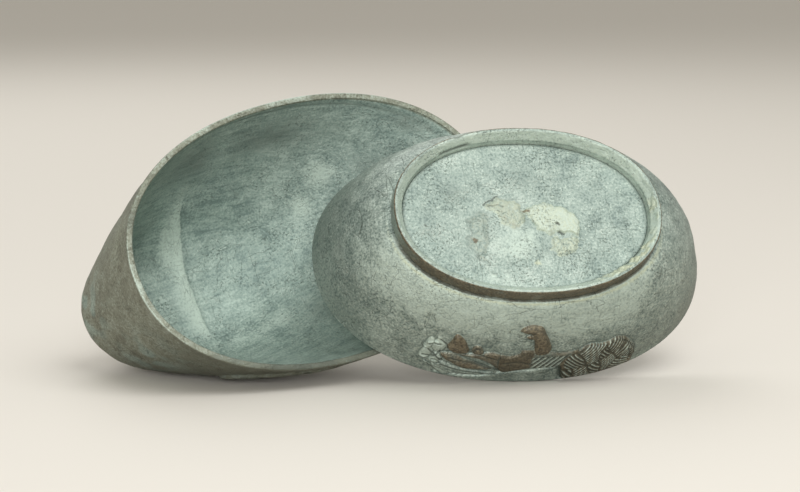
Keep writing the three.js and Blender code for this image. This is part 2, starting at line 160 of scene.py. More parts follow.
def bump(value, middle, width):
    """1 at a middle, falling off softly to both sides."""
    return np.exp(-(((value - middle) / width) ** 2))


def spots(points, patches):
    """The strongest of soft spots, each given by its middle, its reach along the axes and its amount."""
    total = np.zeros(points.shape[:-1])
    for middle, reach, amount in patches:
        offset = (points - np.array(middle)) / np.array(reach)
        total = np.maximum(total, amount * np.exp(-(offset ** 2).sum(-1)))
    return total


def widen(values, count):
    """One value for each ring, repeated for every point of the ring."""
    return np.repeat(np.asarray(values)[:, None], count, 1)


def add(masks, mask, amount):
    """Raises a mask to an amount wherever it is lower."""
    masks[mask] = np.maximum(masks[mask], amount)


def lumps(points, size, seed, waves=14):
    """A smooth random field from about -1 to 1 whose lumps are about that size."""
    rng = np.random.default_rng(seed)
    total = np.zeros(points.shape[:-1])
    for _ in range(waves):
        direction = rng.normal(size=3)
        direction /= np.linalg.norm(direction)
        stretch = rng.uniform(0.6, 1.5)
        phase = rng.uniform(0, 2 * math.pi)
        total += np.cos(points @ direction * (2 * math.pi * stretch / size) + phase)
    return total / math.sqrt(waves)


def normals_of(rings, loop=False):
    """Outward normals of a grid of rings; in a loop the last ring joins the first."""
    if loop:
        return normals_of(np.concatenate([rings[-1:], rings, rings[:1]]))[1:-1]
    around_ring = np.roll(rings, -1, 1) - np.roll(rings, 1, 1)
    normal = np.cross(around_ring, np.gradient(rings, axis=0))
    size = np.linalg.norm(normal, axis=-1, keepdims=True)
    return normal / np.maximum(size, 1e-9)


def pushed(rings, height, loop=False):
    """A surface whose points are moved out along its normals by a height."""
    return rings + normals_of(rings, loop) * height[..., None]


def closing_rings(ring, steps):
    """Rings that shrink from one towards its middle, so that a flat end has points to shape."""
    middle = ring.mean(0)
    shares = 1 - np.arange(1, steps + 1) / (steps + 1)
    return [middle + (ring - middle) * share for share in shares]


def ring_mesh(name, rings, masks, loop=False):
    """A closed mesh over rings of points; it keeps their own places and the masks on its points."""
    count, sides = rings.shape[:2]
    points = rings.reshape(-1, 3)
    number = np.arange(count * sides).reshape(count, sides)
    here = number if loop else number[:-1]
    over = np.roll(number, -1, 0) if loop else number[1:]
    faces = np.stack([here, np.roll(here, -1, 1), np.roll(over, -1, 1), over], -1).reshape(-1, 4)
    faces = faces.tolist()
    ends = [] if loop else [(number[0], True), (number[-1], False)]
    for ring, is_first in ends:
        middle = len(points)
        points = np.vstack([points, points[ring].mean(0)])
        for a, b in zip(ring.tolist(), np.roll(ring, -1).tolist()):
            faces.append([middle, b, a] if is_first else [middle, a, b])
    mesh = bpy.data.meshes.new(name)
    mesh.from_pydata((points * MM).tolist(), [], faces)
    own = mesh.attributes.new(OWN_PLACE, "FLOAT_VECTOR", "POINT")
    own.data.foreach_set("vector", np.ravel(points).astype(np.float32))
    for mask in MASKS:
        flat = np.ravel(masks.get(mask, np.zeros((count, sides))))
        flat = np.concatenate([flat, [flat[ring].mean() for ring, is_first in ends]])
        layer = mesh.attributes.new(mask, "FLOAT", "POINT")
        layer.data.foreach_set("value", np.clip(flat, 0, 1).astype(np.float32))
    mesh.shade_smooth()
    return linked(name, mesh)


def joined(parts):
    """Rings and masks of several stretches of one surface, put together."""
    masks = {}
    for mask in MASKS:
        masks[mask] = np.concatenate([held.get(mask, np.zeros(rings.shape[:2])) for rings, held in parts])
    return np.concatenate([rings for rings, held in parts]), masks


# Drawing relief

def curve_through(points, closed=True, fineness=7):
    """A smooth line through a few points, as short straight pieces."""
    points = np.array(points, float)
    if closed:
        padded = np.vstack([points[-1:], points, points[:2]])
    else:
        padded = np.vstack([points[:1], points, points[-1:]])
    line = []
    for a, b, c, d in zip(padded[:-3], padded[1:-2], padded[2:-1], padded[3:]):
        for t in np.arange(fineness) / fineness:
            line.append(0.5 * (2 * b + (c - a) * t + (2 * a - 5 * b + 4 * c - d) * t * t
                               + (3 * b - a - 3 * c + d) * t ** 3))
    if not closed:
        line.append(points[-1])
    return np.array(line)


def distance_to(line, along, down, closed=True):
    """Distance to a line, less than nothing inside a closed one."""
    nearest = np.full(along.shape, FAR_AWAY)
    inside = np.zeros(along.shape, bool)
    ends = np.roll(line, -1, 0) if closed else line[1:]
    for (ax, ay), (bx, by) in zip(line, ends):
        dx, dy = bx - ax, by - ay
        share = ((along - ax) * dx + (down - ay) * dy) / max(dx * dx + dy * dy, 1e-12)
        share = np.clip(share, 0, 1)
        gap = np.hypot(along - ax - share * dx, down - ay - share * dy)
        nearest = np.minimum(nearest, gap)
        if closed and ay != by:
            crosses = (ay > down) != (by > down)
            inside ^= crosses & (along < dx * (down - ay) / dy + ax)
    return np.where(inside, -nearest, nearest)


class Relief:
    """Heights and colour masks over a patch of surface, drawn in millimetres along and down it."""

    def __init__(self, along, down):
        self.along = along
        self.down = down
        self.height = np.zeros(along.shape)
        self.masks = {mask: np.zeros(along.shape) for mask in MASKS}

    def tint(self, mask, amount):
        add(self.masks, mask, amount)

    def figure(self, outline, proud, bevel=0.5, crown=0.0, groove=0.12, **tints):
        """A raised form with a rounded edge, a dark groove round it and its own tints."""
        gap = distance_to(curve_through(outline), self.along, self.down)
        body = smooth(0.1, -bevel, gap)
        coat = smooth(0.25, -0.25, gap)
        foot_line = bump(gap, 0.15, 0.22)
        raised = np.maximum(self.height * (1 - body), proud * body + crown * smooth(0, -3 * bevel, gap))
        self.height = np.where(gap < 0.1, raised, self.height) - groove * foot_line
        for mask in MASKS:
            self.masks[mask] = self.masks[mask] * (1 - 0.8 * coat)
            self.tint(mask, tints.get(mask, 0) * coat)
        self.tint("dark", 5.5 * groove * foot_line)
        self.tint("pale", tints.get("rim", 0) * bump(gap, 0.6, 0.28))
        return body

    def line(self, points, width, depth, mask="dark", amount=0.8):
        """A cut line, or a raised one where its depth is less than nothing."""
        gap = distance_to(curve_through(points, closed=False), self.along, self.down, closed=False)
        mark = bump(gap, 0, width)
        self.height = self.height - depth * mark
        self.tint(mask, amount * mark)

    def lines(self, marks):
        for mark in marks:
            self.line(*mark)

    def hatch(self, where, angle, pitch, depth):
        """Parallel cuts at an angle, with worn pale ridges between them."""
        turn = math.radians(angle)
        across = -self.along * math.sin(turn) + self.down * math.cos(turn)
        wave = 0.5 + 0.5 * np.cos(2 * math.pi * across / pitch)
        cut = where * smooth(0.35, 0.85, wave)
        ridge = where * smooth(0.35, 0.05, wave)
        self.height = self.height - depth * cut
        self.tint("dark", 0.95 * cut)
        self.masks["dark"] *= 1 - 0.85 * ridge
        self.masks["brown"] *= 1 - 0.7 * ridge
        self.masks["pale"] *= 1 - cut
        self.tint("pale", 0.8 * ridge)


# The relief on the base's flank: x along the duck, and down from the mouth edge

PLAIN_BAND = [
    (-23.3, 1.7), (-16.7, 2.3), (-11.6, 3.1), (-6.8, 5.2), (0.9, 6.3), (4.8, 7.0), (7.5, 7.1),
    (8.4, 5.5), (9.2, 2.5), (9.7, 0.8), (0, 0.5), (-12, 0.5), (-22, 0.8),
]
BIRD_HEAD = [
    (-4.6, 21.2), (-4.1, 22.4), (-2.2, 23.2), (0, 23.0), (1.1, 22.5), (2.3, 20.4), (3.7, 17.9),
    (4.9, 14.5), (3.3, 13.0), (0.8, 13.4), (-0.1, 17.0), (-0.8, 18.9), (-1.4, 20.0), (-2.9, 20.4),
]
BIRD_JAW = [(-2.6, 19.0), (-1.3, 18.4), (0.2, 18.2), (0.4, 19.4), (-1.1, 19.9), (-2.4, 19.6)]
BIRD_BODY = [
    (-8.3, 12.2), (-5.7, 12.4), (-3.3, 13.5), (-2.6, 14.6), (1.2, 14.4), (5.7, 13.6), (8.0, 13.0),
    (12.6, 13.3), (11.5, 9.5), (8.6, 7.6), (4.7, 7.4), (0.7, 7.2), (-3.1, 6.4), (-7.2, 5.9),
]
LONG_LEAF = [
    (-23.3, 9.7), (-21.7, 10.8), (-19.6, 10.7), (-16.8, 9.4), (-14, 8.4), (-9.8, 6.8), (-7.2, 5.7),
    (-9.7, 6.3), (-13.6, 6.0), (-16.9, 5.7), (-19.7, 7.0), (-21.7, 8.0),
]
TOP_LEAF = [
    (-21, 11.4), (-18.5, 11.7), (-15.9, 11.6), (-12.6, 12.9), (-9.8, 13.3), (-7.9, 12.4),
    (-6.6, 9.0), (-6.9, 5.9), (-9.6, 8.4), (-13.2, 10.2), (-16.8, 10.3),
]
LOW_LEAF = [
    (-24.8, 6.8), (-21.3, 6.5), (-18.6, 5.6), (-14.5, 5.0), (-8, 4.9), (-11.4, 3.6), (-16.5, 2.9),
    (-20.5, 3.2), (-23.5, 4.6),
]
BUD = [
    (-22, 12.4), (-21.2, 15.2), (-20.6, 17.5), (-19.7, 17.8), (-18.1, 16.5), (-17, 14.6),
    (-16.3, 12.4), (-19, 11.3),
]
BERRY = [(-15.9, 12.6), (-15.6, 14.6), (-14.6, 15.4), (-13.4, 15.0), (-12.5, 12.8), (-14.0, 11.9)]
PETALS = [
    [(-28.2, 6.3), (-27.6, 9.4), (-26.0, 11.0), (-25.0, 8.6), (-26.2, 6.4)],
    [(-27.6, 10.2), (-27.1, 12.9), (-26.2, 14.6), (-25.0, 13.4), (-25.6, 10.8)],
    [(-25.6, 11.0), (-24.6, 14.4), (-22.6, 13.4), (-22.6, 11.2), (-24.0, 9.6)],
    [(-25.6, 6.6), (-24.4, 9.4), (-22.6, 9.2), (-22.8, 7.0), (-24.4, 5.4)],
    [(-24.6, 4.4), (-23.2, 5.4), (-20.4, 3.6), (-19.2, 2.4), (-22.0, 1.6)],
]
# Bright crumpled ridges over the end leaf
CRUMPLES = [
    [(-26.9, 12.6), (-25.6, 13.2), (-24.2, 13.4)], [(-24.4, 15.0), (-22.8, 13.8), (-21.9, 12.2)],
    [(-27.6, 11.0), (-26.4, 10.3), (-25.4, 9.2)], [(-27.6, 6.9), (-25.6, 6.3), (-23.4, 6.7)],
    [(-26.4, 4.9), (-24.6, 3.6), (-22.8, 2.2)], [(-23.4, 4.4), (-21.0, 3.4), (-19.0, 3.2)],
    [(-25.2, 9.4), (-23.6, 8.2), (-22.8, 7.4)],
]
LOBES = [
    (9.1, 5.8), (8.5, 8.6), (9.4, 11.2), (11.7, 12.2), (13.4, 14.2), (15.4, 15.1), (18.2, 14.4),
    (20.5, 14.3), (22.5, 15.1), (25.2, 13.9), (27.8, 11.0), (29.7, 7.0), (29.8, 3.4), (28.0, 0.9),
    (20, 0.4), (11.4, 0.5), (10.0, 3.0),
]
# Each feather: its middle along and down, its reach, the angle and pitch of its cuts, how brown it is
FEATHERS = [
    (11.2, 3.6, 2.0, -42, 1.4, 0.0), (14.6, 3.8, 2.6, 42, 0.8, 0.2), (12.8, 9.2, 2.7, -40, 0.9, 0.4),
    (16.2, 11.4, 3.4, 50, 0.8, 0.4), (18.4, 5.4, 2.1, -38, 1.2, 0.5), (21.6, 6.4, 2.6, 45, 0.68, 0.3),
    (20.0, 10.6, 1.9, -45, 0.9, 0.9), (22.6, 12.2, 2.3, 68, 0.85, 0.9), (26.4, 9.2, 3.2, 58, 0.9, 0.2),
    (25.4, 4.6, 2.4, -22, 1.0, 0.3),
]
FEATHER_LINES = [
    ([(29.3, 3.6), (29.0, 7.4), (27.0, 11.0), (24.6, 13.4)], 0.3, 0.25),
    ([(28.0, 3.8), (27.8, 7.0), (26.6, 9.6)], 0.28, 0.2),
    ([(27.4, 9.4), (26.3, 10.2), (25.2, 8.6)], 0.3, -0.15, "pale", 0.9),
]
# Lines over the bird's head, neck, eye and beak
BIRD_LINES = [
    ([(2.0, 22.6), (3.4, 19.6), (5.4, 15.4)], 0.22, -0.1, "pale", 0.35),
    ([(-4.2, 20.8), (-2.4, 21.0), (-0.6, 20.8)], 0.22, 0.2),
    ([(1.4, 21.8), (2.8, 18.6), (4.2, 14.6)], 0.5, 0.12, "dark", 0.45),
    ([(-0.4, 21.0), (0.1, 21.3), (0.4, 20.9)], 0.24, -0.12, "pale", 1.0),
    ([(-0.1, 19.3), (0.3, 19.2)], 0.3, -0.08, "pale", 0.8),
    ([(1.0, 19.5), (1.3, 19.4)], 0.25, -0.08, "pale", 0.7),
]
# Lines over the berry, and the veins of the leaves
PLANT_LINES = [
    ([(-15.4, 13.2), (-14.6, 14.4), (-13.4, 14.0)], 0.3, 0.2),
    ([(-14.6, 12.7), (-14.0, 12.8)], 0.4, -0.1, "pale", 0.8),
    ([(-20.5, 9.3), (-15.0, 8.45), (-9.5, 6.6)], 0.26, 0.16),
    ([(-18.5, 11.0), (-13.45, 10.2), (-8.4, 8.4)], 0.26, 0.16),
    ([(-16.0, 12.0), (-12.3, 12.0), (-8.6, 11.0)], 0.26, 0.16),
    ([(-22.4, 5.6), (-17.0, 4.5), (-11.0, 4.4)], 0.25, 0.14),
    ([(-27.4, 7.4), (-24.6, 8.2), (-23.4, 10.6)], 0.3, 0.18),
]
HATCH_DEPTH = 0.34
# The relief is shaved where it would reach lower than the mouth edge that the base lies on
EDGE_SLOPE, EDGE_START = 0.55, 0.5


def draw_feathers(relief):
    """Lobes of feathers: each point belongs to the feather whose middle is nearest."""
    body = relief.figure(LOBES, 0.8, 0.4, 0.25, brown=0.8, dark=0.3)
    reaches = np.array([
        np.hypot(relief.along - along, relief.down - down) / reach for along, down, reach, *_ in FEATHERS
    ])
    nearest = reaches.argmin(0)
    order = np.sort(reaches, axis=0)
    margin = order[1] - order[0]
    border = body * smooth(0.22, 0.04, margin)
    inner = body * smooth(0.08, 0.22, margin)
    for number, (along, down, reach, angle, pitch, brown) in enumerate(FEATHERS):
        own = inner * (nearest == number)
        relief.height = relief.height + 0.3 * own * smooth(1.3, 0.2, reaches[number])
        relief.tint("brown", brown * own)
        relief.hatch(own * smooth(1.45, 1.2, reaches[number]), angle, pitch, HATCH_DEPTH)
    relief.height = relief.height - 0.22 * border
    relief.tint("dark", 0.8 * border)
    relief.lines(FEATHER_LINES)


def draw_bird(relief):
    """A little bird: its hatched body and folded wing, its jaw, its head and its beak."""
    body = relief.figure(BIRD_BODY, 0.6, 0.4, 0.15, brown=0.8, dark=0.4)
    relief.line([(-5.7, 12.7), (1.2, 14.9), (8.0, 13.5), (11.6, 13.4)], 0.2, -0.1, "pale", 0.4)
    wing = body * smooth(-0.5, 1.2, relief.along) * smooth(11.8, 9.8, relief.along)
    relief.masks["brown"] *= 1 - 0.4 * wing
    relief.hatch(wing * smooth(12.6, 11.8, relief.down), 52, 1.25, HATCH_DEPTH)
    relief.line([(-7.0, 9.6), (-3.5, 10.4), (0.5, 9.4)], 0.35, 0.18)
    relief.figure(BIRD_JAW, 0.45, 0.4, 0.1, brown=0.85)
    relief.figure(BIRD_HEAD, 0.85, 0.7, 0.3, groove=0.07, brown=0.95)
    relief.lines(BIRD_LINES)
    throat = bump(relief.along, -2.0, 0.8) * bump(relief.down, 17.0, 2.2)
    relief.tint("pale", 0.75 * throat)


def draw_plants(relief):
    """The spray of water plants: a crumpled end leaf, three leaves, a bud and a berry."""
    for number, petal in enumerate(PETALS):
        relief.figure(petal, 0.3 + 0.15 * (number % 2), 0.5, 0.1, groove=0.09, pale=0.85)
    relief.figure(LOW_LEAF, 0.4, 0.4, 0.15, dark=0.05, brown=0.15, rim=0.6)
    relief.figure(LONG_LEAF, 0.6, 0.4, 0.25, groove=0.14, brown=0.62, rim=0.25)
    relief.figure(TOP_LEAF, 0.7, 0.4, 0.2, brown=0.65, dark=0.25)
    relief.figure(BUD, 0.8, 0.6, 0.3, groove=0.07, brown=0.95)
    relief.figure(BERRY, 0.7, 0.6, 0.3, groove=0.08, brown=0.7, dark=0.1)
    for ridge in CRUMPLES:
        relief.line(ridge, 0.3, -0.36, "pale", 1.0)
        relief.line([(along + 0.6, down - 0.55) for along, down in ridge], 0.26, 0.3, "dark", 1.0)
    relief.lines(PLANT_LINES)


def flank_relief(points):
    """The whole relief, for outside points of the bowl; it fades out away from the +y flank."""
    relief = Relief(points[..., 0], -points[..., 2])
    relief.figure(PLAIN_BAND, 0.42, 0.35, 0.0, groove=0.1)
    draw_plants(relief)
    draw_bird(relief)
    draw_feathers(relief)
    relief.line([(8.9, 6.6), (9.5, 4.2), (10.4, 1.0)], 0.35, 0.3, "dark", 0.9)
    band_end = smooth(2.5, 7.5, relief.along) * smooth(9.4, 8.6, relief.along)
    relief.tint("pale", 0.5 * band_end * smooth(7.4, 5.5, relief.down))
    near = smooth(0, 4, points[..., 1])
    highest = np.maximum(EDGE_SLOPE * (relief.down - EDGE_START), 0)
    height = np.minimum(relief.height, highest) * near
    return height, {mask: near * values for mask, values in relief.masks.items()}


# The places of the two halves

def base_place():
    """The base's place: the foot plate's centre is known in its own frame and in the frame's."""
    low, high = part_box("foot_plate")
    turn = turned(BASE_POSE)
    plate_z = -BOWL_DEPTH - SEAT_GAP - PLATE_THICKNESS / 2
    middle = turn @ Vector((-FOOT_SET_BACK, 0, plate_z)) * MM
    return Matrix.Translation((low + high) / 2 - middle) @ turn.to_4x4()


def lid_place(shell_points):
    """The lid's place: the box of its plain shell, turned, is the box of the frame's shell."""
    low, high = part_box("lid_shell")
    turn = turned(LID_POSE)
    laid = shell_points @ np.array(turn).T * MM
    middle = Vector((laid.min(0) + laid.max(0)) / 2)
    return Matrix.Translation((low + high) / 2 - middle) @ turn.to_4x4()


# The bowl

RELIEF_FROM, RELIEF_TO = math.radians(51), math.radians(128)
FLANK_SIDES, PLAIN_SIDES = 340, 230
# Where the rings of the outside lie between the mouth at 0 and the foot at 1: from, to and how many
BOWL_STRETCHES = [(1, 0.8, 14), (0.79, 0.61, 22), (0.605, 0.02, 112)]


def bowl_angles():
    """Angles round the bowl, closer together over the decorated flank."""
    flank = np.linspace(RELIEF_FROM, RELIEF_TO, FLANK_SIDES, endpoint=False)
    rest = np.linspace(RELIEF_TO, RELIEF_FROM + 2 * math.pi, PLAIN_SIDES, endpoint=False)
    return np.concatenate([flank, rest])


def bezier(points, share):
    """Points of a cubic curve drawn by four points, at shares from 0 to 1."""
    a, b, c, d = (np.array(point)[None, :] for point in points)
    t = np.asarray(share)[:, None]
    return (1 - t) ** 3 * a + 3 * (1 - t) ** 2 * t * b + 3 * (1 - t) * t * t * c + t ** 3 * d


def bowl_profile(share, inset=0.0, rise=0.0):
    """Half length, half width and height of the bowl's wall, from the mouth down to the foot."""
    width_lean = FLANK_LEAN * MOUTH_WIDTH / MOUTH_LENGTH
    return bezier([
        (MOUTH_LENGTH - inset, MOUTH_WIDTH - inset, 0),
        (MOUTH_LENGTH - FLANK_LEAN - inset, MOUTH_WIDTH - width_lean - inset, -FLANK_DROP),
        (FOOT_LENGTH + BELLY_REACH - inset, FOOT_WIDTH + BELLY_REACH_SIDE - inset, -BOWL_DEPTH + rise),
        (FOOT_LENGTH - inset, FOOT_WIDTH - inset, -BOWL_DEPTH + rise),
    ], share)


def bowl_rings(profile, mouth_length, angles):
    """Ovals along a profile, each set back by the share of the way to the foot."""
    rings = []
    for half_length, half_width, z in profile:
        shift = -FOOT_SET_BACK * (mouth_length - half_length) / (MOUTH_LENGTH - FOOT_LENGTH)
        rings.append(oval(half_length, half_width, z, shift, angles))
    return np.array(rings)


def edge_profile(wall, edge, steps):
    """Inset and drop along a mouth's edge: outer corner, flat top, inner corner."""
    outer = []
    for turn in np.linspace(0, math.pi / 2, steps):
        outer.append((edge * (1 - math.cos(turn)), edge * (1 - math.sin(turn))))
    return outer + [(wall - inset, drop) for inset, drop in reversed(outer)]


def make_bowl():
    """The base's bowl: its outside with the relief, its mouth edge and its plain hollow."""
    angles = bowl_angles()
    shares = np.concatenate([np.linspace(*stretch) for stretch in BOWL_STRETCHES])
    outside = bowl_rings(bowl_profile(shares), MOUTH_LENGTH, angles)
    height, masks = flank_relief(outside)
    dents = 0.1 * lumps(outside, 13, 5) + 0.04 * lumps(outside, 4, 6)
    height = height + smooth(0, 2.5, -outside[..., 2]) * (dents - 0.2)
    tint_bowl(masks, outside, widen(shares, len(angles)))
    outside = pushed(outside, height)
    edge = edge_profile(BOWL_WALL, MOUTH_EDGE, 5)
    rim = [(MOUTH_LENGTH - pull, MOUTH_WIDTH - pull, -drop) for pull, drop in edge]
    rim = bowl_rings(rim, MOUTH_LENGTH, angles)
    inside = bowl_profile(np.linspace(0.03, 1, 26), BOWL_WALL, BOWL_WALL)
    inside = bowl_rings(inside, MOUTH_LENGTH - BOWL_WALL, angles)
    bottom = np.array(closing_rings(inside[-1], 6))
    return ring_mesh("base_bowl_skin", *joined([(outside, masks), (rim, {}), (inside, {}), (bottom, {})]))


def tint_bowl(masks, outside, shares):
    """Marks on the bowl's outside: on the decorated side a painted highlight low on the flank, a band of
    painted light just below the foot and painted shade where the bowl meets the foot; painted shade towards
    both ends nearer the mouth, with a painted brown reflection at the tail end; and pale scuffs at the
    breast.
    """
    x, y, z = np.moveaxis(outside, -1, 0)
    near_foot = smooth(0.86, 1.0, shares)
    decorated = smooth(-5, 15, y)
    above_mouth = smooth(-24, -14, z)
    # A band of painted light on the decorated side, just below the foot
    masks["yellow"] = 0.75 * bump(near_foot, 0.35, 0.3) * decorated
    # Painted shade, dark and brown, on the bowl where it meets the foot
    joint_shade = 0.6 * smooth(0.55, 0.95, near_foot) * decorated
    add(masks, "dark", joint_shade)
    add(masks, "brown", joint_shade)
    # A painted highlight low on the decorated flank, towards the foot
    add(masks, "pale", 0.7 * smooth(-13, -23, z) * decorated * smooth(36, 24, x))
    breast_scuffs = 0.45 * smooth(-44, -51, x) * smooth(-8, 6, y)
    add(masks, "pale", breast_scuffs + 0.35 * bump(x, -42, 7) * smooth(14, 26, y))
    # Painted shade towards both ends nearer the mouth, with a painted brown reflection at the tail end
    tail_end = smooth(34, 46, x) * above_mouth * decorated
    breast_end = smooth(-34, -46, x) * above_mouth
    add(masks, "brown", 0.3 * tail_end)
    add(masks, "dark", 0.34 * np.maximum(tail_end, breast_end))


# The foot

# Angles where crust starts and ends on the slope, in radians, and how thick it lies
CRUST_SPANS = [(0.18, 1.15, 1.0), (-0.2, 0.16, 0.7)]
CHIP_ANGLE, GROOVE_FROM, GROOVE_TO = math.radians(243), math.radians(228), math.radians(251)


def foot_profile():
    """Inset and height round the ring's section, up the outside and down the inside."""
    rest = -BOWL_DEPTH - FOOT_HEIGHT
    seat = -BOWL_DEPTH - SEAT_GAP
    wall = FOOT_RIM + FOOT_SLOPE + FOOT_DRAFT
    corners = [
        (FOOT_EDGE, rest, 2), (0, rest + FOOT_EDGE, 12), (0, seat - FOOT_EDGE, 2), (FOOT_EDGE, seat, 3),
        (wall, seat, 7), (FOOT_RIM + FOOT_SLOPE, rest + FOOT_SLOPE_DEPTH, 12),
        (FOOT_RIM, rest + FOOT_EDGE, 2), (FOOT_RIM - FOOT_EDGE, rest, 3),
    ]
    section = []
    for (inset, z, steps), (next_inset, next_z, _) in zip(corners, corners[1:] + corners[:1]):
        for step in range(steps):
            share = step / steps
            section.append((inset + (next_inset - inset) * share, z + (next_z - z) * share))
    return np.array(section)


def crust_on(rings, turn):
    """How thick the lumpy crust lies round the foot ring, from 0 to about 1."""
    crust = np.zeros_like(turn)
    for start, end, amount in CRUST_SPANS:
        for whole in (0, 2 * math.pi):
            crust = np.maximum(crust, amount * bump(turn - whole, (start + end) / 2, (end - start) / 2))
    return crust * smooth(0.2, 0.9, lumps(rings, 3.5, 21) + 0.75)


def make_foot_ring():
    """The foot ring, with a slope inside its edge, crust, a chip and a groove on that slope."""
    angles = around(RING_SIDES)
    section = foot_profile()
    rings = np.array([oval(FOOT_LENGTH - i, FOOT_WIDTH - i, z, -FOOT_SET_BACK, angles) for i, z in section])
    inset = widen(section[:, 0], len(angles))
    rise = widen(section[:, 1], len(angles)) + BOWL_DEPTH + FOOT_HEIGHT
    turn = np.repeat(angles[None, :], len(section), 0)
    outer = smooth(0.3, 0.05, inset)
    slope = smooth(0.5, 1.0, inset) * smooth(FOOT_SLOPE_DEPTH + 0.6, FOOT_SLOPE_DEPTH - 0.2, rise)
    crust = crust_on(rings, turn)
    wear = 0.05 * lumps(rings, 6, 22) + 0.05 * lumps(rings, 2.2, 23)
    height = wear * (outer + slope) * smooth(0, 0.4, rise)
    height = height + crust * slope * (0.28 + 0.3 * lumps(rings, 1.6, 24))
    chip = bump(turn, CHIP_ANGLE, 0.05) * smooth(1.4, 0.2, rise) * smooth(1.5, 0.6, inset)
    groove = smooth(GROOVE_FROM, GROOVE_FROM + 0.08, turn) * smooth(GROOVE_TO, GROOVE_TO - 0.1, turn)
    groove = groove * bump(rise, FOOT_SLOPE_DEPTH, 0.5) * smooth(1.2, 2.0, inset)
    height = height - 0.35 * chip - 0.3 * groove
    inner_wall = smooth(FOOT_SLOPE_DEPTH - 0.1, FOOT_SLOPE_DEPTH + 0.7, rise) * smooth(1.2, 2.2, inset)
    front = 0.3 + 0.7 * smooth(0.0, 0.7, np.sin(turn))
    masks = {
        "brown": np.maximum(0.95 * smooth(0.35, 0.1, inset) * smooth(1.1, 0.3, rise), 0.75 * outer * front),
        # The pale on the inner wall is painted light, set against the shade inside the ring
        "pale": np.maximum(0.85 * slope * (1 - 0.4 * crust), 0.7 * inner_wall),
        # The dark on the outer wall, rising towards the bowl and strongest at the front, is painted shade
        "dark": np.maximum(0.8 * groove, 0.35 * outer * smooth(1.0, 2.0, rise) * front),
        "yellow": np.maximum(0.2 * slope, 0.9 * crust * slope),
    }
    add(masks, "dark", 0.6 * chip)
    return ring_mesh("foot_ring_skin", pushed(rings, height, loop=True), masks, loop=True)


# What is left of old solder on the foot plate: along and across the plate from the middle of the base
CREAM_LOBE = [
    (-2.6, -1.5), (0.3, -3.1), (3.8, -3.3), (7.2, -2.6), (10.0, -1.0), (11.7, 1.7), (11.8, 4.3),
    (10.7, 5.9), (8.8, 5.3), (6.3, 4.6), (4.2, 5.6), (2.3, 4.6), (0.5, 3.2), (-1.4, 1.1),
]
LOW_LOBE = [(4.2, 5.8), (7.5, 6.0), (11.1, 6.4), (10.2, 9.5), (7.5, 11.3), (4.6, 10.5), (3.5, 8.0)]
LEFT_BLOB = [
    (-16.4, 0.0), (-14.4, -0.8), (-12.1, 0.0), (-12.3, 3.2), (-12.9, 8.4), (-13.8, 11.4), (-12.4, 13.0),
    (-15.2, 12.2), (-18.0, 7.8), (-16.5, 5.2), (-16.3, 3.2), (-17.2, 1.5),
]
TOP_PATCH = [
    (-12.8, -2.1), (-9.4, -4.6), (-4.0, -4.0), (-2.8, -1.4), (-2.6, 1.0), (-3.3, 2.1), (-6.0, 3.7),
    (-8.3, 2.1), (-9.9, -0.6),
]
RESIDUE_RIDGE = [(-12.8, -2.1), (-9.9, -1.0), (-8.3, 2.1), (-6.0, 3.7), (-3.3, 2.1)]
PALE_FIELD = [
    (-11.6, 3.8), (-8.0, 2.6), (-4.0, 3.6), (-0.6, 2.8), (2.1, 5.6), (3.0, 9.0), (2.0, 12.3), (-1.3, 13.9),
    (-7.8, 13.4), (-12.1, 11.4), (-12.6, 7.0),
]
# Each patch of residue: its outline, how proud and how bevelled it is, its crown, groove and tints
RESIDUE = [
    (PALE_FIELD, 0.12, 2.6, 0.05, 0, {}),
    (TOP_PATCH, 0.3, 1.6, 0.1, 0.01, {"yellow": 0.5, "dark": 0.25}),
    (LEFT_BLOB, 0.3, 1.8, 0.1, 0.01, {"yellow": 0.25, "dark": 0.3}),
    (LOW_LOBE, 0.3, 1.6, 0.15, 0.01, {"yellow": 0.5, "dark": 0.1}),
    (CREAM_LOBE, 0.55, 0.7, 0.3, 0.03, {"yellow": 0.45, "pale": 1.0}),
]
# Small marks on the plate: edges of the residue first, then pits, stains and specks
PLATE_MARKS = [
    (LEFT_BLOB + LEFT_BLOB[:1], 0.45, 0.05, "dark", 0.35),
    (TOP_PATCH + TOP_PATCH[:1], 0.45, 0.05, "dark", 0.3),
    (LOW_LOBE + LOW_LOBE[:1], 0.45, 0.05, "dark", 0.2),
    (RESIDUE_RIDGE, 0.8, -0.2, "pale", 0.7),
    ([(along + 0.9, down - 0.9) for along, down in RESIDUE_RIDGE], 0.7, 0.12, "brown", 0.4),
    ([(-12.9, -2.6), (-11.8, -3.9), (-9.0, -5.0)], 0.35, 0.1, "dark", 0.9),
    ([(-11.8, -2.3), (-9.8, -2.7), (-7.9, -2.6)], 0.3, 0.08, "dark", 0.6),
    ([(5.5, 2.6), (5.6, 2.9)], 0.5, 0.3, "dark", 0.95),
    ([(6.4, 4.6), (6.9, 4.9)], 0.35, 0.2, "dark", 0.9),
    ([(-2.2, -1.3), (-1.4, -0.9)], 0.7, 0.12, "brown", 0.75),
    ([(-16.2, 0.8), (-14.4, 1.2)], 0.9, 0.08, "dark", 0.5),
    ([(-16.3, 6.9), (-16.1, 7.1)], 0.7, 0.15, "brown", 0.9),
    ([(-17.2, 1.5), (-16.5, 5.2), (-18.0, 7.8), (-15.2, 12.2)], 0.6, 0.08, "dark", 0.45),
    ([(-0.4, 13.0), (0.2, 13.5)], 0.7, 0.12, "yellow", 0.9),
    ([(-28.6, 2.8), (-28.4, 3.0)], 0.4, 0.12, "dark", 0.85),
    ([(-12.2, 16.5), (-12.0, 16.7)], 0.45, -0.12, "pale", 1.0),
    ([(3.6, 1.0), (4.0, 7.0), (3.0, 10.0)], 0.6, 0.06, "dark", 0.3),
]
# Soft dark areas of the plate: middle along and down, reach along and down, amount
PLATE_SHADES = [(-20.8, -6.5, 4.2, 4.0, 0.35), (-1.5, -9.5, 7.0, 3.0, 0.3), (-27.5, 4.5, 4.0, 2.6, 0.32)]


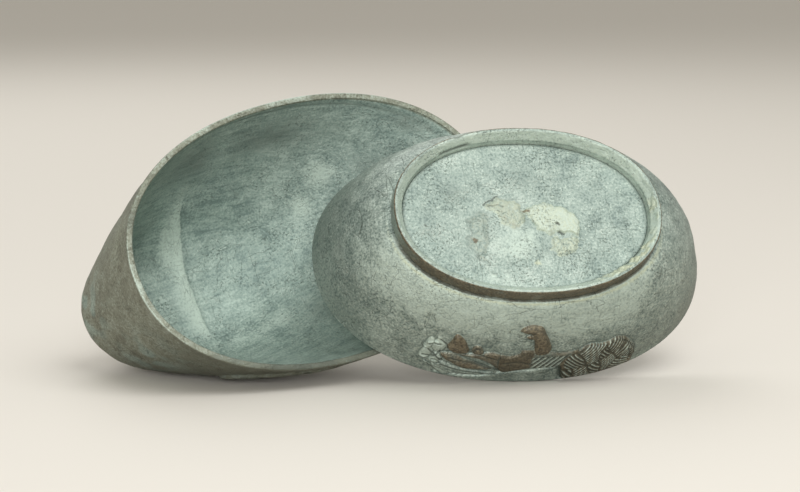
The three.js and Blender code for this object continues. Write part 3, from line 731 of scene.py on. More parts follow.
def plate_relief(points):
    """The old solder, marks and stains over the face of the foot plate."""
    x, y = points[..., 0], points[..., 1]
    ragged = [0.35 * lumps(points, 3.2, seed) + 0.12 * lumps(points, 1.0, seed + 1) for seed in (71, 73)]
    relief = Relief(x + ragged[0], y + ragged[1])
    for outline, proud, bevel, crown, groove, tints in RESIDUE:
        relief.figure(outline, proud, bevel, crown, groove, **tints)
    relief.tint("pale", 0.75 * bump(relief.along, -4.8, 6.5) * bump(relief.down, 8.2, 5.0))
    relief.lines(PLATE_MARKS)
    for along, down, long_reach, down_reach, amount in PLATE_SHADES:
        relief.tint("dark", amount * bump(x, along, long_reach) * bump(y, down, down_reach))
    return relief


def make_foot_plate():
    """The plate inside the foot ring: its marked face and its plain back."""
    angles = around(PLATE_SIDES)
    inset = FOOT_RIM + FOOT_SLOPE + FOOT_DRAFT + PLATE_GAP
    half_length, half_width = FOOT_LENGTH - inset, FOOT_WIDTH - inset
    face_z = -BOWL_DEPTH - SEAT_GAP - PLATE_THICKNESS
    shares = np.linspace(0.01, 1, PLATE_RINGS)
    face = np.array([
        oval(half_length * share, half_width * share, face_z, -FOOT_SET_BACK, angles) for share in shares
    ])
    relief = plate_relief(face)
    height = relief.height + 0.05 * lumps(face, 7, 31) + 0.03 * lumps(face, 2.4, 32)
    edge = smooth(1.0, 0.96, widen(shares, len(angles)))
    # Painted shade round the plate's edge, where it meets the ring's inner wall
    relief.tint("dark", 0.55 * (1 - edge))
    face[..., 2] -= height * edge
    back = oval(half_length, half_width, -BOWL_DEPTH - SEAT_GAP, -FOOT_SET_BACK, angles)
    return ring_mesh("foot_plate_skin", *joined([(face, relief.masks), (back[None], {})]))


# The lid

CREASE_X, CREASE_WIDTH, CREASE_PROUD = -21.0, 6.5, 0.5
# Rings up the wall and over the crown of the lid's inside and outside
INSIDE_STEPS, OUTSIDE_STEPS = (52, 16), (72, 16)
# Soft spots on the lid: the middle of each, its reach along each axis and its amount
# Most of the dark spots inside are painted shade, such as the shadow under the upper stretch of the rim and
# the shade along the breast wall; the long low spot at the tail end, by the inner step, is a darker blue
# band
INSIDE_DARK = [
    ((2, -30, 12), (17, 7, 7), 0.5), ((-22, -29, 14), (11, 8, 11), 0.5), ((25, -17, 12), (6, 4, 6), 0.4),
    ((-33, -20, 33), (5, 8, 14), 0.3), ((38, -22, 3), (12, 6, 2.5), 0.5), ((-3, 0, 40), (4, 9, 6), 0.25),
    ((6, 16, 30), (8, 8, 12), 0.35),
]
# Most of the pale spots inside are painted light: three in a line down the crown's slope are a painted
# reflection, and one beside the crease is a painted highlight
INSIDE_PALE = [
    ((16, -19, 20), (5, 4, 5), 0.8), ((11, -13, 27), (4, 5, 5), 0.7), ((9, -6, 31), (3, 6, 5), 0.5),
    ((-6, 12, 38), (8, 6, 8), 0.2), ((-1, -14, 33), (6, 3, 6), 0.25), ((-6, 15.5, 35), (26, 4, 10), 0.5),
    ((-25, -14, 39), (2.5, 9, 8), 0.9),
]
OUTSIDE_SCUFFS = [
    ((-50, 14, 31), (5, 5, 7), 0.5), ((-43, 22, 19), (7, 6, 6), 0.5), ((-54, 2, 37), (4, 6, 6), 0.4),
    ((-30, 29, 12), (8, 5, 6), 0.35), ((-55, -4, 28), (3, 5, 8), 0.3),
]
OUTSIDE_YELLOW = [((-52, -14, 8), (6, 12, 9), 0.3)]
OUTSIDE_BLUE = [((-48, 18, 24), (7, 9, 14), 1), ((-54, -2, 34), (5, 9, 9), 1)]


def lid_section(z):
    """Half length, half width and middle of the lid's outside at a height."""
    share = np.clip(z / LID_HEIGHT, 0, 1)
    over = np.clip((z - LID_HEIGHT + CROWN_ROUNDING) / CROWN_ROUNDING, 0, 1)
    pull = CROWN_ROUNDING * (1 - np.sqrt(1 - over * over))
    breast = -LID_LENGTH - BREAST_LEAN * share + pull
    back = LID_LENGTH - (2 * LID_LENGTH - CROWN_LENGTH) * share ** BACK_POWER - pull
    half_width = LID_WIDTH - (LID_WIDTH - CROWN_WIDTH) * share ** SIDE_POWER - pull
    return (back - breast) / 2, half_width, (back + breast) / 2


def lid_ring(z, angles, inset=0.0, lift=0.0):
    """One oval of the lid at a height; inset and lift set it inside the outer surface."""
    half_length, half_width, centre = lid_section(z + lift)
    return oval(half_length - inset, half_width - inset, z, centre, angles)


def lid_heights(wall_steps, crown_steps):
    """Heights of the rings: even up the wall, closer together over the crown's rounding."""
    start = LID_HEIGHT - CROWN_ROUNDING
    wall = start * np.arange(1, wall_steps + 1) / wall_steps
    crown = start + CROWN_ROUNDING * np.sin(np.pi / 2 * np.arange(1, crown_steps + 1) / crown_steps)
    return np.concatenate([wall, crown])


def lid_inside(angles):
    """Rings from the middle of the crown's underside down to the mouth."""
    rings = []
    for height in lid_heights(*INSIDE_STEPS):
        z = height * (LID_HEIGHT - LID_WALL) / LID_HEIGHT
        lift = LID_WALL * min(1, z / (4 * LID_WALL))
        rings.append(lid_ring(z, angles, LID_WALL, lift))
    rings += closing_rings(rings[-1], 20)
    rings = np.array(rings[::-1])
    x, y, z = np.moveaxis(rings, -1, 0)
    crease = smooth(CREASE_X - CREASE_WIDTH, CREASE_X - 2.5, x) * smooth(CREASE_X + 0.4, CREASE_X - 0.6, x)
    crease = crease * smooth(-24, -17, y) * smooth(14, 9, y) * smooth(20, 30, z)
    height = CREASE_PROUD * crease + 0.12 * lumps(rings, 16, 41) + 0.04 * lumps(rings, 5, 42)
    height = height * smooth(0.3, 3, z)
    step = bump(z, 2.0, 0.5)
    rings = pushed(rings, height - 0.18 * step)
    masks = {
        "dark": np.maximum(0.5 * step, spots(rings, INSIDE_DARK)),
        # The pale along the crease is a painted highlight on the ridge
        "pale": np.maximum(0.15 * crease, spots(rings, INSIDE_PALE)),
        "inner": np.ones(rings.shape[:2]),
    }
    return rings, masks


# The wing's small feathers, or coverts, lie in rows, and its quills follow behind them
COVERT_ROWS, COVERTS_IN_ROW = 4, 5
COVERT_PITCH, COVERT_ROW_PITCH, COVERT_RADIUS = 4.6, 3.2, 2.6
QUILLS, QUILL_PITCH = 5, 2.3


def wing_relief(points):
    """A folded wing on each side of the lid: rounded coverts in front, long quills behind."""
    relief = Relief(points[..., 0], points[..., 2])
    corners = [
        (0, WING_DEPTH - 2), (0.3, WING_DEPTH), (0.7, WING_DEPTH * 0.55), (1, 1.5), (0.6, 0),
        (0.15, WING_DEPTH * 0.2),
    ]
    outline = [(WING_X + WING_LENGTH * share, WING_Z + up) for share, up in corners]
    body = relief.figure(outline, WING_PROUD, 0.9, 0.1, rim=0.5)
    front = WING_X + WING_LENGTH * 0.42
    for row in range(COVERT_ROWS):
        for step in range(COVERTS_IN_ROW):
            along = WING_X + 4.5 + COVERT_PITCH * (step + 0.5 * (row % 2))
            up = WING_Z + 4.2 + COVERT_ROW_PITCH * row
            reach = np.hypot(relief.along - along, relief.down - up)
            rear_half = (relief.along > along - 0.6) * (relief.along < front + 2)
            scale = body * bump(reach, COVERT_RADIUS, 0.28) * rear_half
            relief.height = relief.height - 0.22 * scale
            relief.tint("dark", 0.8 * scale)
    for quill in range(QUILLS):
        lift = 2.0 + QUILL_PITCH * quill
        line = [
            (front + 1.5, WING_Z + lift + 1.0),
            (front + 14, WING_Z + lift * 0.75 + 0.6),
            (WING_X + WING_LENGTH - 2 - 1.5 * quill, WING_Z + 1.6 + lift * 0.28),
        ]
        relief.line(line, 0.35, 0.26 * body)
    return relief.height * (body > 0), {mask: values * (body > 0) for mask, values in relief.masks.items()}


def lid_outside(angles):
    """Rings from the mouth up to the middle of the crown, with the wings raised on both sides."""
    rings = [lid_ring(height, angles) for height in lid_heights(*OUTSIDE_STEPS)]
    rings += closing_rings(rings[-1], 12)
    rings = np.array(rings)
    x, y, z = np.moveaxis(rings, -1, 0)
    height, masks = wing_relief(rings)
    side = smooth(6, 12, np.abs(y))
    masks = {mask: values * side for mask, values in masks.items()}
    dents = 0.1 * lumps(rings, 14, 51) + 0.04 * lumps(rings, 4, 52) - 0.2
    height = height * side + dents * smooth(0.5, 3, z)
    add(masks, "pale", spots(rings, OUTSIDE_SCUFFS))
    add(masks, "yellow", spots(rings, OUTSIDE_YELLOW))
    # Painted shade on the breast half of the +y side, the side that lies turned down towards the floor
    add(masks, "dark", 0.36 * (smooth(8, 24, y) * smooth(0, -24, x)))
    masks["inner"] = spots(rings, OUTSIDE_BLUE) * smooth(-0.2, 0.6, lumps(rings, 7, 53))
    return pushed(rings, height), masks


def lid_rim(angles):
    """The lid's mouth edge, from its inner corner to its outer one, worn bright and stained in turn, with a
    painted highlight along the outer edge of the worn stretches.
    """
    edge = edge_profile(LID_WALL, LID_EDGE, 4)
    inner_length, inner_width = LID_LENGTH - LID_WALL, LID_WIDTH - LID_WALL
    rings = np.array([oval(inner_length + push, inner_width + push, z, 0, angles) for push, z in edge])
    turn = np.repeat(angles[None, :], len(rings), 0)
    worn = np.maximum(bump(turn, math.radians(272), 0.8), bump(turn, math.radians(175), 0.5))
    stained = np.maximum(0.6 * bump(turn, math.radians(205), 0.2), bump(turn, math.radians(110), 0.55))
    mixed = 0.5 + 0.3 * lumps(rings, 7, 45)
    row = widen(np.arange(len(rings)), len(angles))
    face = (row > 1) & (row < len(rings) - 2)
    outer_edge = row >= len(rings) - 3
    masks = {
        # The pale on the face is wear; the pale line along the outer edge is a painted highlight
        "pale": face * (0.1 + 0.5 * worn) * mixed + outer_edge * 0.6 * worn,
        "dark": np.where(face, 0.55 * stained + 0.25 * (1 - mixed), 0.45 * (1 - worn)),
    }
    return rings, masks


def make_lid_shell():
    """The lid's shell in one skin, from the crown's underside over the mouth edge to the crown."""
    angles = around(RING_SIDES)
    return ring_mesh("lid_shell_skin", *joined([lid_inside(angles), lid_rim(angles), lid_outside(angles)]))


def plain_lid_points():
    """The shell's outside with no relief, whose box is the frame's."""
    angles = around(64)
    rings = [oval(LID_LENGTH - LID_EDGE, LID_WIDTH - LID_EDGE, 0, 0, angles)]
    rings.append(oval(LID_LENGTH, LID_WIDTH, LID_EDGE, 0, angles))
    rings += [lid_ring(height, angles) for height in lid_heights(8, 5)]
    return np.concatenate(rings)


# Head, bill, eyes and tail

def ball_rings(radius, middle, steps, sides):
    """A ball's rings from its bottom to its top."""
    angles = around(sides)
    rings = []
    for share in (np.arange(steps) + 0.5) / steps:
        turn = math.pi * (share - 0.5)
        reach = radius * math.cos(turn)
        rings.append(np.stack([
            middle[0] + reach * np.cos(angles),
            middle[1] + reach * np.sin(angles),
            np.full(sides, middle[2] + radius * math.sin(turn)),
        ], -1))
    return np.array(rings)


def bar_rings(centres, widths, thicknesses, sides=72, power=2.3):
    """Rings across a bar that runs along x, each one an upright oval."""
    angles = around(sides)
    along, across = np.cos(angles), np.sin(angles)
    y = np.sign(along) * np.abs(along) ** (2 / power)
    z = np.sign(across) * np.abs(across) ** (2 / power)
    rings = []
    for (x, centre_z), width, thickness in zip(centres, widths, thicknesses):
        rings.append(np.stack([np.full(sides, x), width * y, centre_z + thickness * z], -1))
    return np.array(rings)


def quadratic(a, b, c, share):
    """Points of a curve from a to c that is drawn towards b."""
    a, b, c = (np.array(point, float) for point in (a, b, c))
    t = np.asarray(share)[:, None]
    return (1 - t) ** 2 * a + 2 * (1 - t) * t * b + t * t * c


def rounding(share, power):
    """Keeps a bar full along its length and rounds it off at its end."""
    return np.sqrt(np.maximum(1.002 - share ** power, 0.002))


def bar_mesh(name, rings, masks):
    """The mesh of a bar along +x, with its rings in reverse, so that its faces look outwards."""
    return ring_mesh(name, rings[::-1], {mask: values[::-1] for mask, values in masks.items()})


# How widely the skull and the neck flow into one another
HEAD_BLEND = 2.2


def head_height(points):
    """Smooth union of the skull and the neck: less than nothing inside."""
    x, y, z = np.moveaxis(points, -1, 0)
    skull = np.sqrt(
        ((x - HEAD_X) / (HEAD_LENGTH / 2)) ** 2
        + (y / (HEAD_WIDTH / 2)) ** 2
        + ((z - HEAD_Z) / (HEAD_HEIGHT / 2)) ** 2
    ) - 1
    skull = skull * HEAD_HEIGHT / 2
    foot_x = HEAD_X - HEAD_LENGTH * 0.62
    shares = np.linspace(0, 1, 24)
    line = quadratic(
        (foot_x, LID_HEIGHT - CROWN_ROUNDING), (foot_x - NECK_RADIUS * 0.3, LID_HEIGHT + 3.0),
        (HEAD_X, HEAD_Z), shares,
    )
    neck = np.full(points.shape[:-1], FAR_AWAY)
    for share, (neck_x, neck_z) in zip(shares, line):
        radius = NECK_RADIUS * (1.15 - 0.3 * share)
        neck = np.minimum(neck, np.sqrt((x - neck_x) ** 2 + y ** 2 + (z - neck_z) ** 2) - radius)
    share = np.clip(0.5 + 0.5 * (neck - skull) / HEAD_BLEND, 0, 1)
    return neck * (1 - share) + skull * share - HEAD_BLEND * share * (1 - share)


CHEEK_RADIUS, HEAD_FEATHER_PITCH = 6.2, 2.4
# Rows and sides of the head's mesh, how far its search goes and how often it halves the distance
HEAD_ROWS, HEAD_SIDES, HEAD_SEARCH, HEAD_HALVINGS = 96, 160, 40.0, 26


def head_rings(foot_z):
    """Points of the head and neck, found by walking out from a point inside them to the surface."""
    angles = around(HEAD_SIDES)
    middle = np.array([HEAD_X - HEAD_LENGTH * 0.3, 0, foot_z])
    rings = []
    for row in range(HEAD_ROWS):
        lift = math.pi / 2 * row / HEAD_ROWS
        level = math.cos(lift)
        upwards = np.full(HEAD_SIDES, math.sin(lift))
        direction = np.stack([np.cos(angles) * level, np.sin(angles) * level, upwards], -1)
        near, far = np.zeros(HEAD_SIDES), np.full(HEAD_SIDES, HEAD_SEARCH)
        for _ in range(HEAD_HALVINGS):
            reach = (near + far) / 2
            inside = head_height(middle + direction * reach[:, None]) < 0
            near = np.where(inside, reach, near)
            far = np.where(inside, far, reach)
        rings.append(middle + direction * near[:, None])
    return np.array(rings)


def make_head():
    """The head and neck, with a socket round each eye, a cheek line and rows of small feathers."""
    foot_z = LID_HEIGHT - 0.35
    rings = head_rings(foot_z)
    x, y, z = np.moveaxis(rings, -1, 0)
    socket = np.hypot(x - EYE_X, z - EYE_Z)
    height = -0.35 * bump(socket, SOCKET_RADIUS, 0.35)
    cheek = bump(np.hypot(x - HEAD_X - 2, z - HEAD_Z + 2), CHEEK_RADIUS, 0.5) * (x < HEAD_X + 1)
    height = height - 0.2 * cheek * smooth(2, 4, np.abs(y))
    row_wave = np.cos(2 * math.pi * (x + 0.25 * z) / HEAD_FEATHER_PITCH)
    file_wave = np.cos(2 * math.pi * np.arctan2(y, z - HEAD_Z + 9) * 5.5)
    feathers = smooth(HEAD_X - 1, HEAD_X - 5, x) * smooth(foot_z + 0.5, foot_z + 2, z)
    cut = feathers * smooth(0.35, 0.95, row_wave * 0.6 + 0.4 * file_wave * np.sign(row_wave))
    height = height - 0.16 * cut + 0.05 * lumps(rings, 5, 61)
    height = height * smooth(foot_z, foot_z + 1, z)
    masks = {
        "dark": np.maximum(0.7 * cut, 0.6 * bump(socket, SOCKET_RADIUS, 0.5)),
        "pale": 0.35 * smooth(0.4, 0.9, z / (HEAD_Z + HEAD_HEIGHT / 2)) * (1 - cut),
    }
    return ring_mesh("head_skin", pushed(rings, height), masks)


def seated(rings, share, surface_x):
    """Slides a bar's rings along x, so that the first one follows the surface which carries it."""
    slide = (surface_x - rings[..., 0]) * (1 - np.clip(share / 0.3, 0, 1))[:, None]
    rings[..., 0] += slide
    return rings


def make_bill():
    """The bill, with its mouth line, two nostrils and the nail at its tip."""
    share = np.linspace(0, 1, 60)
    start = HEAD_X + HEAD_LENGTH * 0.5 + SEAT_GAP
    line = quadratic(
        (start, HEAD_Z - HEAD_HEIGHT * 0.08), (start + BILL_LENGTH * 0.5, HEAD_Z - HEAD_HEIGHT * 0.17),
        (start + BILL_LENGTH, HEAD_Z - HEAD_HEIGHT * 0.25), share,
    )
    round_end = rounding(share, 6)
    width = BILL_WIDTH / 2 * (0.82 + 0.3 * share) * round_end
    thickness = BILL_THICKNESS / 2 * (1.1 - 0.3 * share) * round_end
    rings = bar_rings(line, width, thickness)
    across, up = rings[0, :, 1] / (HEAD_WIDTH / 2), (rings[0, :, 2] - HEAD_Z) / (HEAD_HEIGHT / 2)
    skull_x = HEAD_X + HEAD_LENGTH / 2 * np.sqrt(np.maximum(1 - across ** 2 - up ** 2, 0))
    rings = seated(rings, share, skull_x - 0.2)
    across = rings[..., 1]
    up = rings[..., 2] - line[:, 1][:, None]
    along = widen(share, rings.shape[1])
    mouth = bump(up, -0.25, 0.16) * smooth(0.05, 0.12, along)
    nostril = bump(along, 0.3, 0.045) * bump(np.abs(across), 1.2, 0.4) * (up > 0)
    nail = bump(along, 0.93, 0.02) * bump(across, 0, 1.2) * (up > 0)
    rings = pushed(rings, -0.22 * mouth - 0.3 * nostril - 0.12 * nail)
    masks = {"brown": np.full(rings.shape[:2], 0.85), "dark": np.maximum(0.8 * mouth, 0.8 * nostril)}
    return bar_mesh("bill_skin", rings, masks)


def make_eye(side):
    """A bead with a ring cut round its pupil."""
    middle = (EYE_X, side * HEAD_WIDTH * 0.42, EYE_Z)
    rings = ball_rings(EYE_RADIUS, middle, 28, 40)
    reach = np.hypot(rings[..., 0] - middle[0], rings[..., 2] - middle[2])
    outer = smooth(0.2, 0.6, side * (rings[..., 1] - middle[1]))
    cut = outer * bump(reach, EYE_RADIUS * 0.5, 0.16)
    masks = {"brown": np.full(rings.shape[:2], 0.9), "dark": 0.9 * cut}
    name = "eye_left_skin" if side > 0 else "eye_right_skin"
    return ring_mesh(name, pushed(rings, -0.14 * cut), masks)


def lid_surface_x(points):
    """Where the tail end of the lid's outside lies, at the points' own heights and widths."""
    half_length, half_width, centre = lid_section(points[:, 2])
    across = np.clip(np.abs(points[:, 1]) / half_width, 0, 1)
    return centre + half_length * (1 - across ** OVAL_POWER) ** (1 / OVAL_POWER)


# The tail's line starts under the shell; this share of it is hidden and left out
TAIL_START = 0.34
TAIL_FEATHERS, TAIL_BARBS = 5, 17


def make_tail():
    """The tail: a flat upturned fan of feathers with cuts between them."""
    share = np.linspace(0, 1, 90)
    root = LID_LENGTH - TAIL_ROOT * 0.5
    tip = LID_LENGTH + TAIL_REACH
    middle = ((root + tip) / 2, TAIL_THICKNESS + SEAT_GAP)
    whole = quadratic((root, TAIL_THICKNESS), middle, (tip, TAIL_RISE), share)
    shown = TAIL_START + (1 - TAIL_START) * share
    line = np.stack([np.interp(shown, share, whole[:, i]) for i in range(2)], -1)
    round_end = rounding(share, 8)
    width = (TAIL_ROOT * (1 - share) + TAIL_TIP * share) / 2 * round_end * 0.88
    thickness = TAIL_THICKNESS / 2 * (1.1 - 0.4 * share) * round_end
    rings = bar_rings(line, width, thickness, 120, power=2.0)
    rings = seated(rings, share, lid_surface_x(rings[0]) - 0.3)
    along = widen(share, rings.shape[1])
    across = rings[..., 1] / np.maximum(width[:, None], 0.5)
    quill = np.abs(np.sin(TAIL_FEATHERS / 2 * math.pi * across))
    cut = smooth(0.3, 0.05, quill) * smooth(0.08, 0.2, along) * smooth(0.995, 0.9, along)
    barbs = np.cos(2 * math.pi * (along * TAIL_BARBS + 1.2 * quill))
    height = -0.24 * cut + 0.05 * barbs * smooth(0.08, 0.2, along) * (1 - cut) * smooth(1, 0.9, along)
    masks = {
        "dark": np.maximum(0.8 * cut, 0.3 * smooth(0.2, 0.9, -barbs) * (1 - cut)),
        "pale": 0.3 * smooth(0.6, 1, along),
    }
    return bar_mesh("tail_skin", pushed(rings, height), masks)


# Materials

def seen(red, green, blue):
    """A colour given as it is seen, from 0 to 255."""
    linear = []
    for value in (red, green, blue):
        value = value / 255
        linear.append(value / 12.92 if value <= 0.04045 else ((value + 0.055) / 1.055) ** 2.4)
    return (*linear, 1.0)


class Surface:
    """Builds one procedural material. Sizes are millimetres in the piece's own frame."""

    def __init__(self, name):
        self.material = bpy.data.materials.new(name)
        self.material.use_nodes = True
        self.tree = self.material.node_tree
        self.shader = self.tree.nodes["Principled BSDF"]
        self.coords = self.attribute(OWN_PLACE, "Vector")

    def put(self, socket, value):
        if isinstance(value, bpy.types.NodeSocket):
            self.tree.links.new(value, socket)
        else:
            socket.default_value = value

    def node(self, kind, output, inputs, **options):
        """Adds a node with its options and inputs, and gives one of its outputs."""
        made = self.tree.nodes.new("ShaderNode" + kind)
        for option, value in options.items():
            setattr(made, option, value)
        for name, value in inputs.items():
            self.put(made.inputs[name], value)
        return made.outputs[output]

    def math(self, operation, first, second=0.0):
        return self.node("Math", 0, {0: first, 1: second}, operation=operation)

    def times(self, first, second):
        return self.math("MULTIPLY", first, second)

    def sum(self, *terms):
        """Adds values that are each multiplied by a factor."""
        total = None
        for value, factor in terms:
            if isinstance(value, bpy.types.NodeSocket):
                term = value if factor == 1 else self.times(value, factor)
            else:
                term = value * factor
            total = term if total is None else self.math("ADD", total, term)
        return total

    def band(self, value, low, high):
        """Rises smoothly from 0 at low to 1 at high, or falls where low is the greater."""
        inputs = {"Value": value, "From Min": low, "From Max": high}
        return self.node("MapRange", "Result", inputs, interpolation_type="SMOOTHSTEP")

    def broken(self, mask, low, high, *terms):
        """A mask of the mesh, its edge broken up by other values."""
        return self.band(self.sum((self.attribute(mask), 1), *terms), low, high)

    def place(self, size, stretch, shift):
        scale = [1 / (size * part) for part in stretch]
        inputs = {"Vector": self.coords, "Scale": scale, "Location": (shift, 1.7 * shift, -shift)}
        return self.node("Mapping", "Vector", inputs)

    def noise(self, size, detail=3.0, shift=0.0, stretch=(1, 1, 1), twist=0.0):
        place = self.place(size, stretch, shift)
        inputs = {"Vector": place, "Scale": 1.0, "Detail": detail, "Distortion": twist}
        return self.node("TexNoise", "Fac", inputs)

    def hairlines(self, size, width, shift, stretch):
        """Thin broken lines along the bent borders of stretched cells."""
        place = self.place(size, stretch, shift)
        waves = self.node("TexNoise", "Color", {"Vector": place, "Scale": 0.8})
        bent = self.node("VectorMath", "Vector", {0: place, 1: waves}, operation="ADD")
        cells = {"Vector": bent, "Scale": 1.0}
        border = self.node("TexVoronoi", "Distance", cells, feature="DISTANCE_TO_EDGE")
        line = self.band(border, width, width * 0.3)
        return self.times(line, self.band(self.noise(size * 1.6, 2, shift + 2), 0.5, 0.6))

    def axis(self, name):
        return self.node("SeparateXYZ", name, {0: self.coords})

    def attribute(self, name, output="Fac"):
        return self.node("Attribute", output, {}, attribute_name=name)

    def blend(self, share, under, over):
        return self.node("Mix", 2, {0: share, 6: under, 7: over}, data_type="RGBA")

    def coat(self, colour, share, strength, tone):
        """Lays a tone over a colour wherever the share is, as strongly as told."""
        return self.blend(self.times(share, strength), colour, tone)

    def relief(self, height, depth):
        return self.node("Bump", "Normal", {"Distance": depth * MM, "Height": height})


PALE_TONE = seen(190, 206, 194)
DARK_TONE = seen(58, 66, 58)
BROWN_TONE = seen(124, 110, 84)
DEEP_BROWN = seen(80, 69, 51)
YELLOW_TONE = seen(188, 196, 170)


def aged_metal(
    name, tones, inner_tones=None, grain_share=0.35, specks=0.5, pits=0.4, streaks=0.3, scratches=0.2,
    metallic=0.3, crease=False,
):
    """Old patinated metal: clouded tones, streaks, fine grain, pale specks, dark pits, scratches."""
    surface = Surface(name)
    mottle = surface.noise(4.2, 7, 3.1)
    grain = surface.noise(0.62, 4, 7.7)
    rub = surface.noise(1.1, 6, 11.3, stretch=(13, 1.3, 1.3), twist=0.6)
    clouds = surface.noise(26, 3, 0.0, twist=0.8)
    shade = surface.sum((clouds, 0.75 - grain_share), (mottle, 0.3), (grain, grain_share - 0.05))
    shade = surface.sum((shade, 1), (rub, streaks), (0.5, -streaks))
    colour = layered(surface, shade, tones)
    if inner_tones:
        colour = surface.blend(surface.attribute("inner"), colour, layered(surface, shade, inner_tones))

    # The pale mask carries wear and also painted highlights; inside the lid the painted highlight along the
    # crease joins it
    worn = surface.broken("pale", 0.12, 0.9, (grain, 0.9), (mottle, 0.5), (-0.7, 1))
    if crease:
        crease_highlight = surface.times(lid_crease(surface, grain, mottle), surface.attribute("inner"))
        worn = surface.math("MAXIMUM", worn, crease_highlight)
    # The yellow mask carries crust, and on the bowl a band of painted light below the foot
    crust = surface.broken("yellow", 0.1, 0.9, (grain, 0.9), (-0.45, 1))
    speck = surface.band(surface.noise(0.6, 5, 17.9), 0.56, 0.68)
    speck = surface.times(speck, surface.band(mottle, 0.36, 0.6))
    brown = surface.broken("brown", 0.25, 0.75, (mottle, 0.8), (-0.4, 1))
    brown_tone = surface.blend(surface.band(grain, 0.35, 0.65), DEEP_BROWN, BROWN_TONE)
    pit = surface.band(surface.noise(0.5, 5, 23.3), 0.46, 0.3)
    pit = surface.times(pit, surface.band(surface.noise(7, 2, 24.0), 0.35, 0.65))
    lengthwise = surface.hairlines(3.1, 0.016, 29.0, (6, 1, 1.4))
    crosswise = surface.hairlines(3.9, 0.014, 37.0, (1, 4, 2.5))
    scratch = surface.math("MAXIMUM", lengthwise, crosswise)
    # The dark mask carries dirt, stains and dark hollows, and also painted shade in corners and on sides
    # turned away from the light
    dirt_and_shade = surface.broken("dark", 0.08, 0.95, (mottle, 0.5), (grain, 0.4), (-0.45, 1))
    coats = [
        (worn, 0.85, PALE_TONE), (crust, 0.9, YELLOW_TONE), (speck, specks, PALE_TONE),
        (brown, 0.88, brown_tone), (pit, pits, DARK_TONE), (scratch, scratches, DARK_TONE),
        (dirt_and_shade, 0.85, DARK_TONE),
    ]
    for share, strength, tone in coats:
        colour = surface.coat(colour, share, strength, tone)
    surface.put(surface.shader.inputs["Base Color"], colour)

    inner = surface.attribute("inner")
    rough = surface.sum((mottle, 0.3), (grain, 0.2), (worn, 0.1), (0.22, 1), (inner, 0.14))
    surface.put(surface.shader.inputs["Roughness"], rough)
    surface.shader.inputs["Metallic"].default_value = metallic
    surface.shader.inputs["Specular IOR Level"].default_value = 0.5

    height = surface.sum((grain, 0.8), (mottle, 0.7), (rub, 0.25), (pit, -0.5), (scratch, -0.3))
    surface.put(surface.shader.inputs["Normal"], surface.relief(height, 0.22))
    return surface.material


def layered(surface, shade, tones):
    """Three tones that follow one another as the shade rises."""
    dark, middle, light = tones
    colour = surface.blend(surface.band(shade, 0.36, 0.51), dark, middle)
    return surface.blend(surface.band(shade, 0.49, 0.64), colour, light)


def lid_crease(surface, grain, mottle):
    """A painted highlight inside the lid: a pale speckled band with one sharp edge, where the neck begins
    outside.
    """
    x, y, z = surface.axis("X"), surface.axis("Y"), surface.axis("Z")
    bend = surface.times(surface.math("SUBTRACT", surface.noise(9, 2, 43.0), 0.5), 3.0)
    across = surface.math("ADD", x, bend)
    soft_side = surface.band(across, CREASE_X - CREASE_WIDTH, CREASE_X - 2.2)
    band = surface.times(soft_side, surface.band(across, CREASE_X + 0.3, CREASE_X - 0.3))
    band = surface.times(band, surface.times(surface.band(y, -28, -19), surface.band(y, 15, 8)))
    band = surface.times(band, surface.band(z, 18, 27))
    bright = surface.band(across, CREASE_X - 4.5, CREASE_X - 1.0)
    broken = surface.band(surface.math("ADD", grain, surface.times(mottle, 0.6)), 0.62, 0.84)
    return surface.times(band, surface.sum((broken, 0.5), (bright, 0.55), (0.2, 1)))


# Floor and light

FLOOR_TONE = seen(226, 222, 214)
FLOOR_BOUNCE_TONE = seen(146, 134, 120)
WORLD_STRENGTH = 0.64
# Half the side of the floor, in metres
FLOOR_REACH = 3.0


def make_floor():
    corners = [(x * FLOOR_REACH, y * FLOOR_REACH, 0) for x, y in ((-1, -1), (1, -1), (1, 1), (-1, 1))]
    mesh = bpy.data.meshes.new("floor")
    mesh.from_pydata(corners, [], [(0, 1, 2, 3)])
    floor = linked("floor", mesh)
    surface = Surface("pale_floor")
    path = surface.tree.nodes.new("ShaderNodeLightPath").outputs
    seen_directly = surface.math("MAXIMUM", path["Is Camera Ray"], path["Is Transmission Ray"])
    seen_directly = surface.math("MAXIMUM", seen_directly, surface.times(path["Is Glossy Ray"], 0.5))
    colour = surface.blend(seen_directly, FLOOR_BOUNCE_TONE, FLOOR_TONE)
    surface.put(surface.shader.inputs["Base Color"], colour)
    surface.shader.inputs["Roughness"].default_value = 0.8
    surface.shader.inputs["Specular IOR Level"].default_value = 0.1
    floor.data.materials.append(surface.material)


def make_lamp(name, place, size, power):
    data = bpy.data.lights.new(name, "AREA")
    data.shape = "DISK"
    data.size = size
    data.energy = power
    lamp = linked(name, data)
    lamp.location = place
    lamp.rotation_euler = Vector(place).to_track_quat("Z", "Y").to_euler()


def make_world():
    world = bpy.data.worlds.new("studio")
    world.use_nodes = True
    tree = world.node_tree
    background = tree.nodes["Background"]
    background.inputs["Color"].default_value = FLOOR_TONE
    path = tree.nodes.new("ShaderNodeLightPath")
    strength = tree.nodes.new("ShaderNodeMapRange")
    tree.links.new(path.outputs["Is Camera Ray"], strength.inputs["Value"])
    strength.inputs["To Min"].default_value = WORLD_STRENGTH
    strength.inputs["To Max"].default_value = 1.0
    tree.links.new(strength.outputs["Result"], background.inputs["Strength"])
    bpy.context.scene.world = world


def dress(piece, place, body, slot, material, *nodes):
    """Lays a piece in its half's place, with its material, and hides the frame's parts that it stands for.
    """
    piece.data.transform(place)
    piece.data.materials.append(material)
    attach(piece, body)
    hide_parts(*nodes)


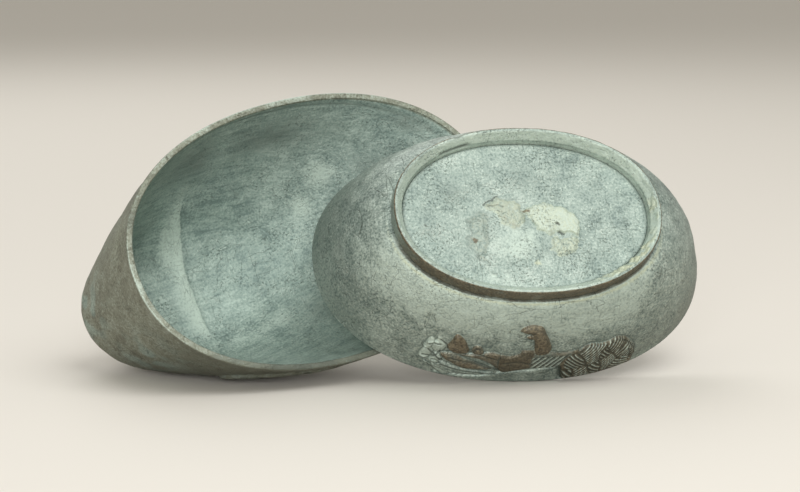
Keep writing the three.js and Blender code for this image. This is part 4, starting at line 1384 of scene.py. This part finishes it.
make_camera()
make_world()
make_floor()
make_lamp("front", (-0.05, -1.3, 0.3), 0.6, 10.5)
make_lamp("key", (0.35, -0.5, 0.9), 0.8, 5.5)
make_lamp("back", (-0.3, 0.8, 0.9), 1.0, 4)

bowl_metal = aged_metal(
    "bowl_patina", (seen(102, 118, 112), seen(144, 159, 150), seen(182, 196, 186)),
    grain_share=0.55, streaks=0.12, specks=1.0, scratches=0.45,
)
lid_metal = aged_metal(
    "lid_patina", (seen(108, 111, 97), seen(133, 138, 122), seen(154, 161, 147)),
    (seen(118, 137, 131), seen(148, 166, 157), seen(174, 191, 181)),
    grain_share=0.5, streaks=0.35, crease=True,
)
foot_metal = aged_metal(
    "foot_patina", (seen(112, 125, 117), seen(150, 166, 156), seen(186, 200, 188)),
    specks=0.8, streaks=0, scratches=0.1,
)
plate_metal = aged_metal(
    "plate_patina", (seen(104, 122, 116), seen(148, 165, 156), seen(182, 196, 186)),
    grain_share=0.5, specks=0.9, pits=0.5, streaks=0, scratches=0.04, metallic=0.15,
)
brown_metal = aged_metal(
    "worn_brown", (seen(92, 84, 68), seen(112, 100, 80), seen(134, 124, 102)), pits=0.3,
)

base_matrix = base_place()
lid_matrix = lid_place(plain_lid_points())
RELIEF_NODES = ("plumage_relief", "bird_relief", "spray_relief", "flank_band")
dress(make_bowl(), base_matrix, "base", "patina", bowl_metal, "base_bowl", *RELIEF_NODES)
dress(make_foot_ring(), base_matrix, "base", "brown_metal", foot_metal, "foot_ring")
dress(make_foot_plate(), base_matrix, "base", "pale_patina", plate_metal, "foot_plate")
dress(make_lid_shell(), lid_matrix, "lid", "patina", lid_metal, "lid_shell", "wing_left", "wing_right")
dress(make_head(), lid_matrix, "lid", "patina", lid_metal, "head")
dress(make_bill(), lid_matrix, "lid", "brown_metal", brown_metal, "bill")
dress(make_eye(1), lid_matrix, "lid", "brown_metal", brown_metal, "eye_left")
dress(make_eye(-1), lid_matrix, "lid", "brown_metal", brown_metal, "eye_right")
dress(make_tail(), lid_matrix, "lid", "patina", lid_metal, "tail")

bpy.context.scene.view_settings.view_transform = "Standard"
bpy.context.view_layer.update()
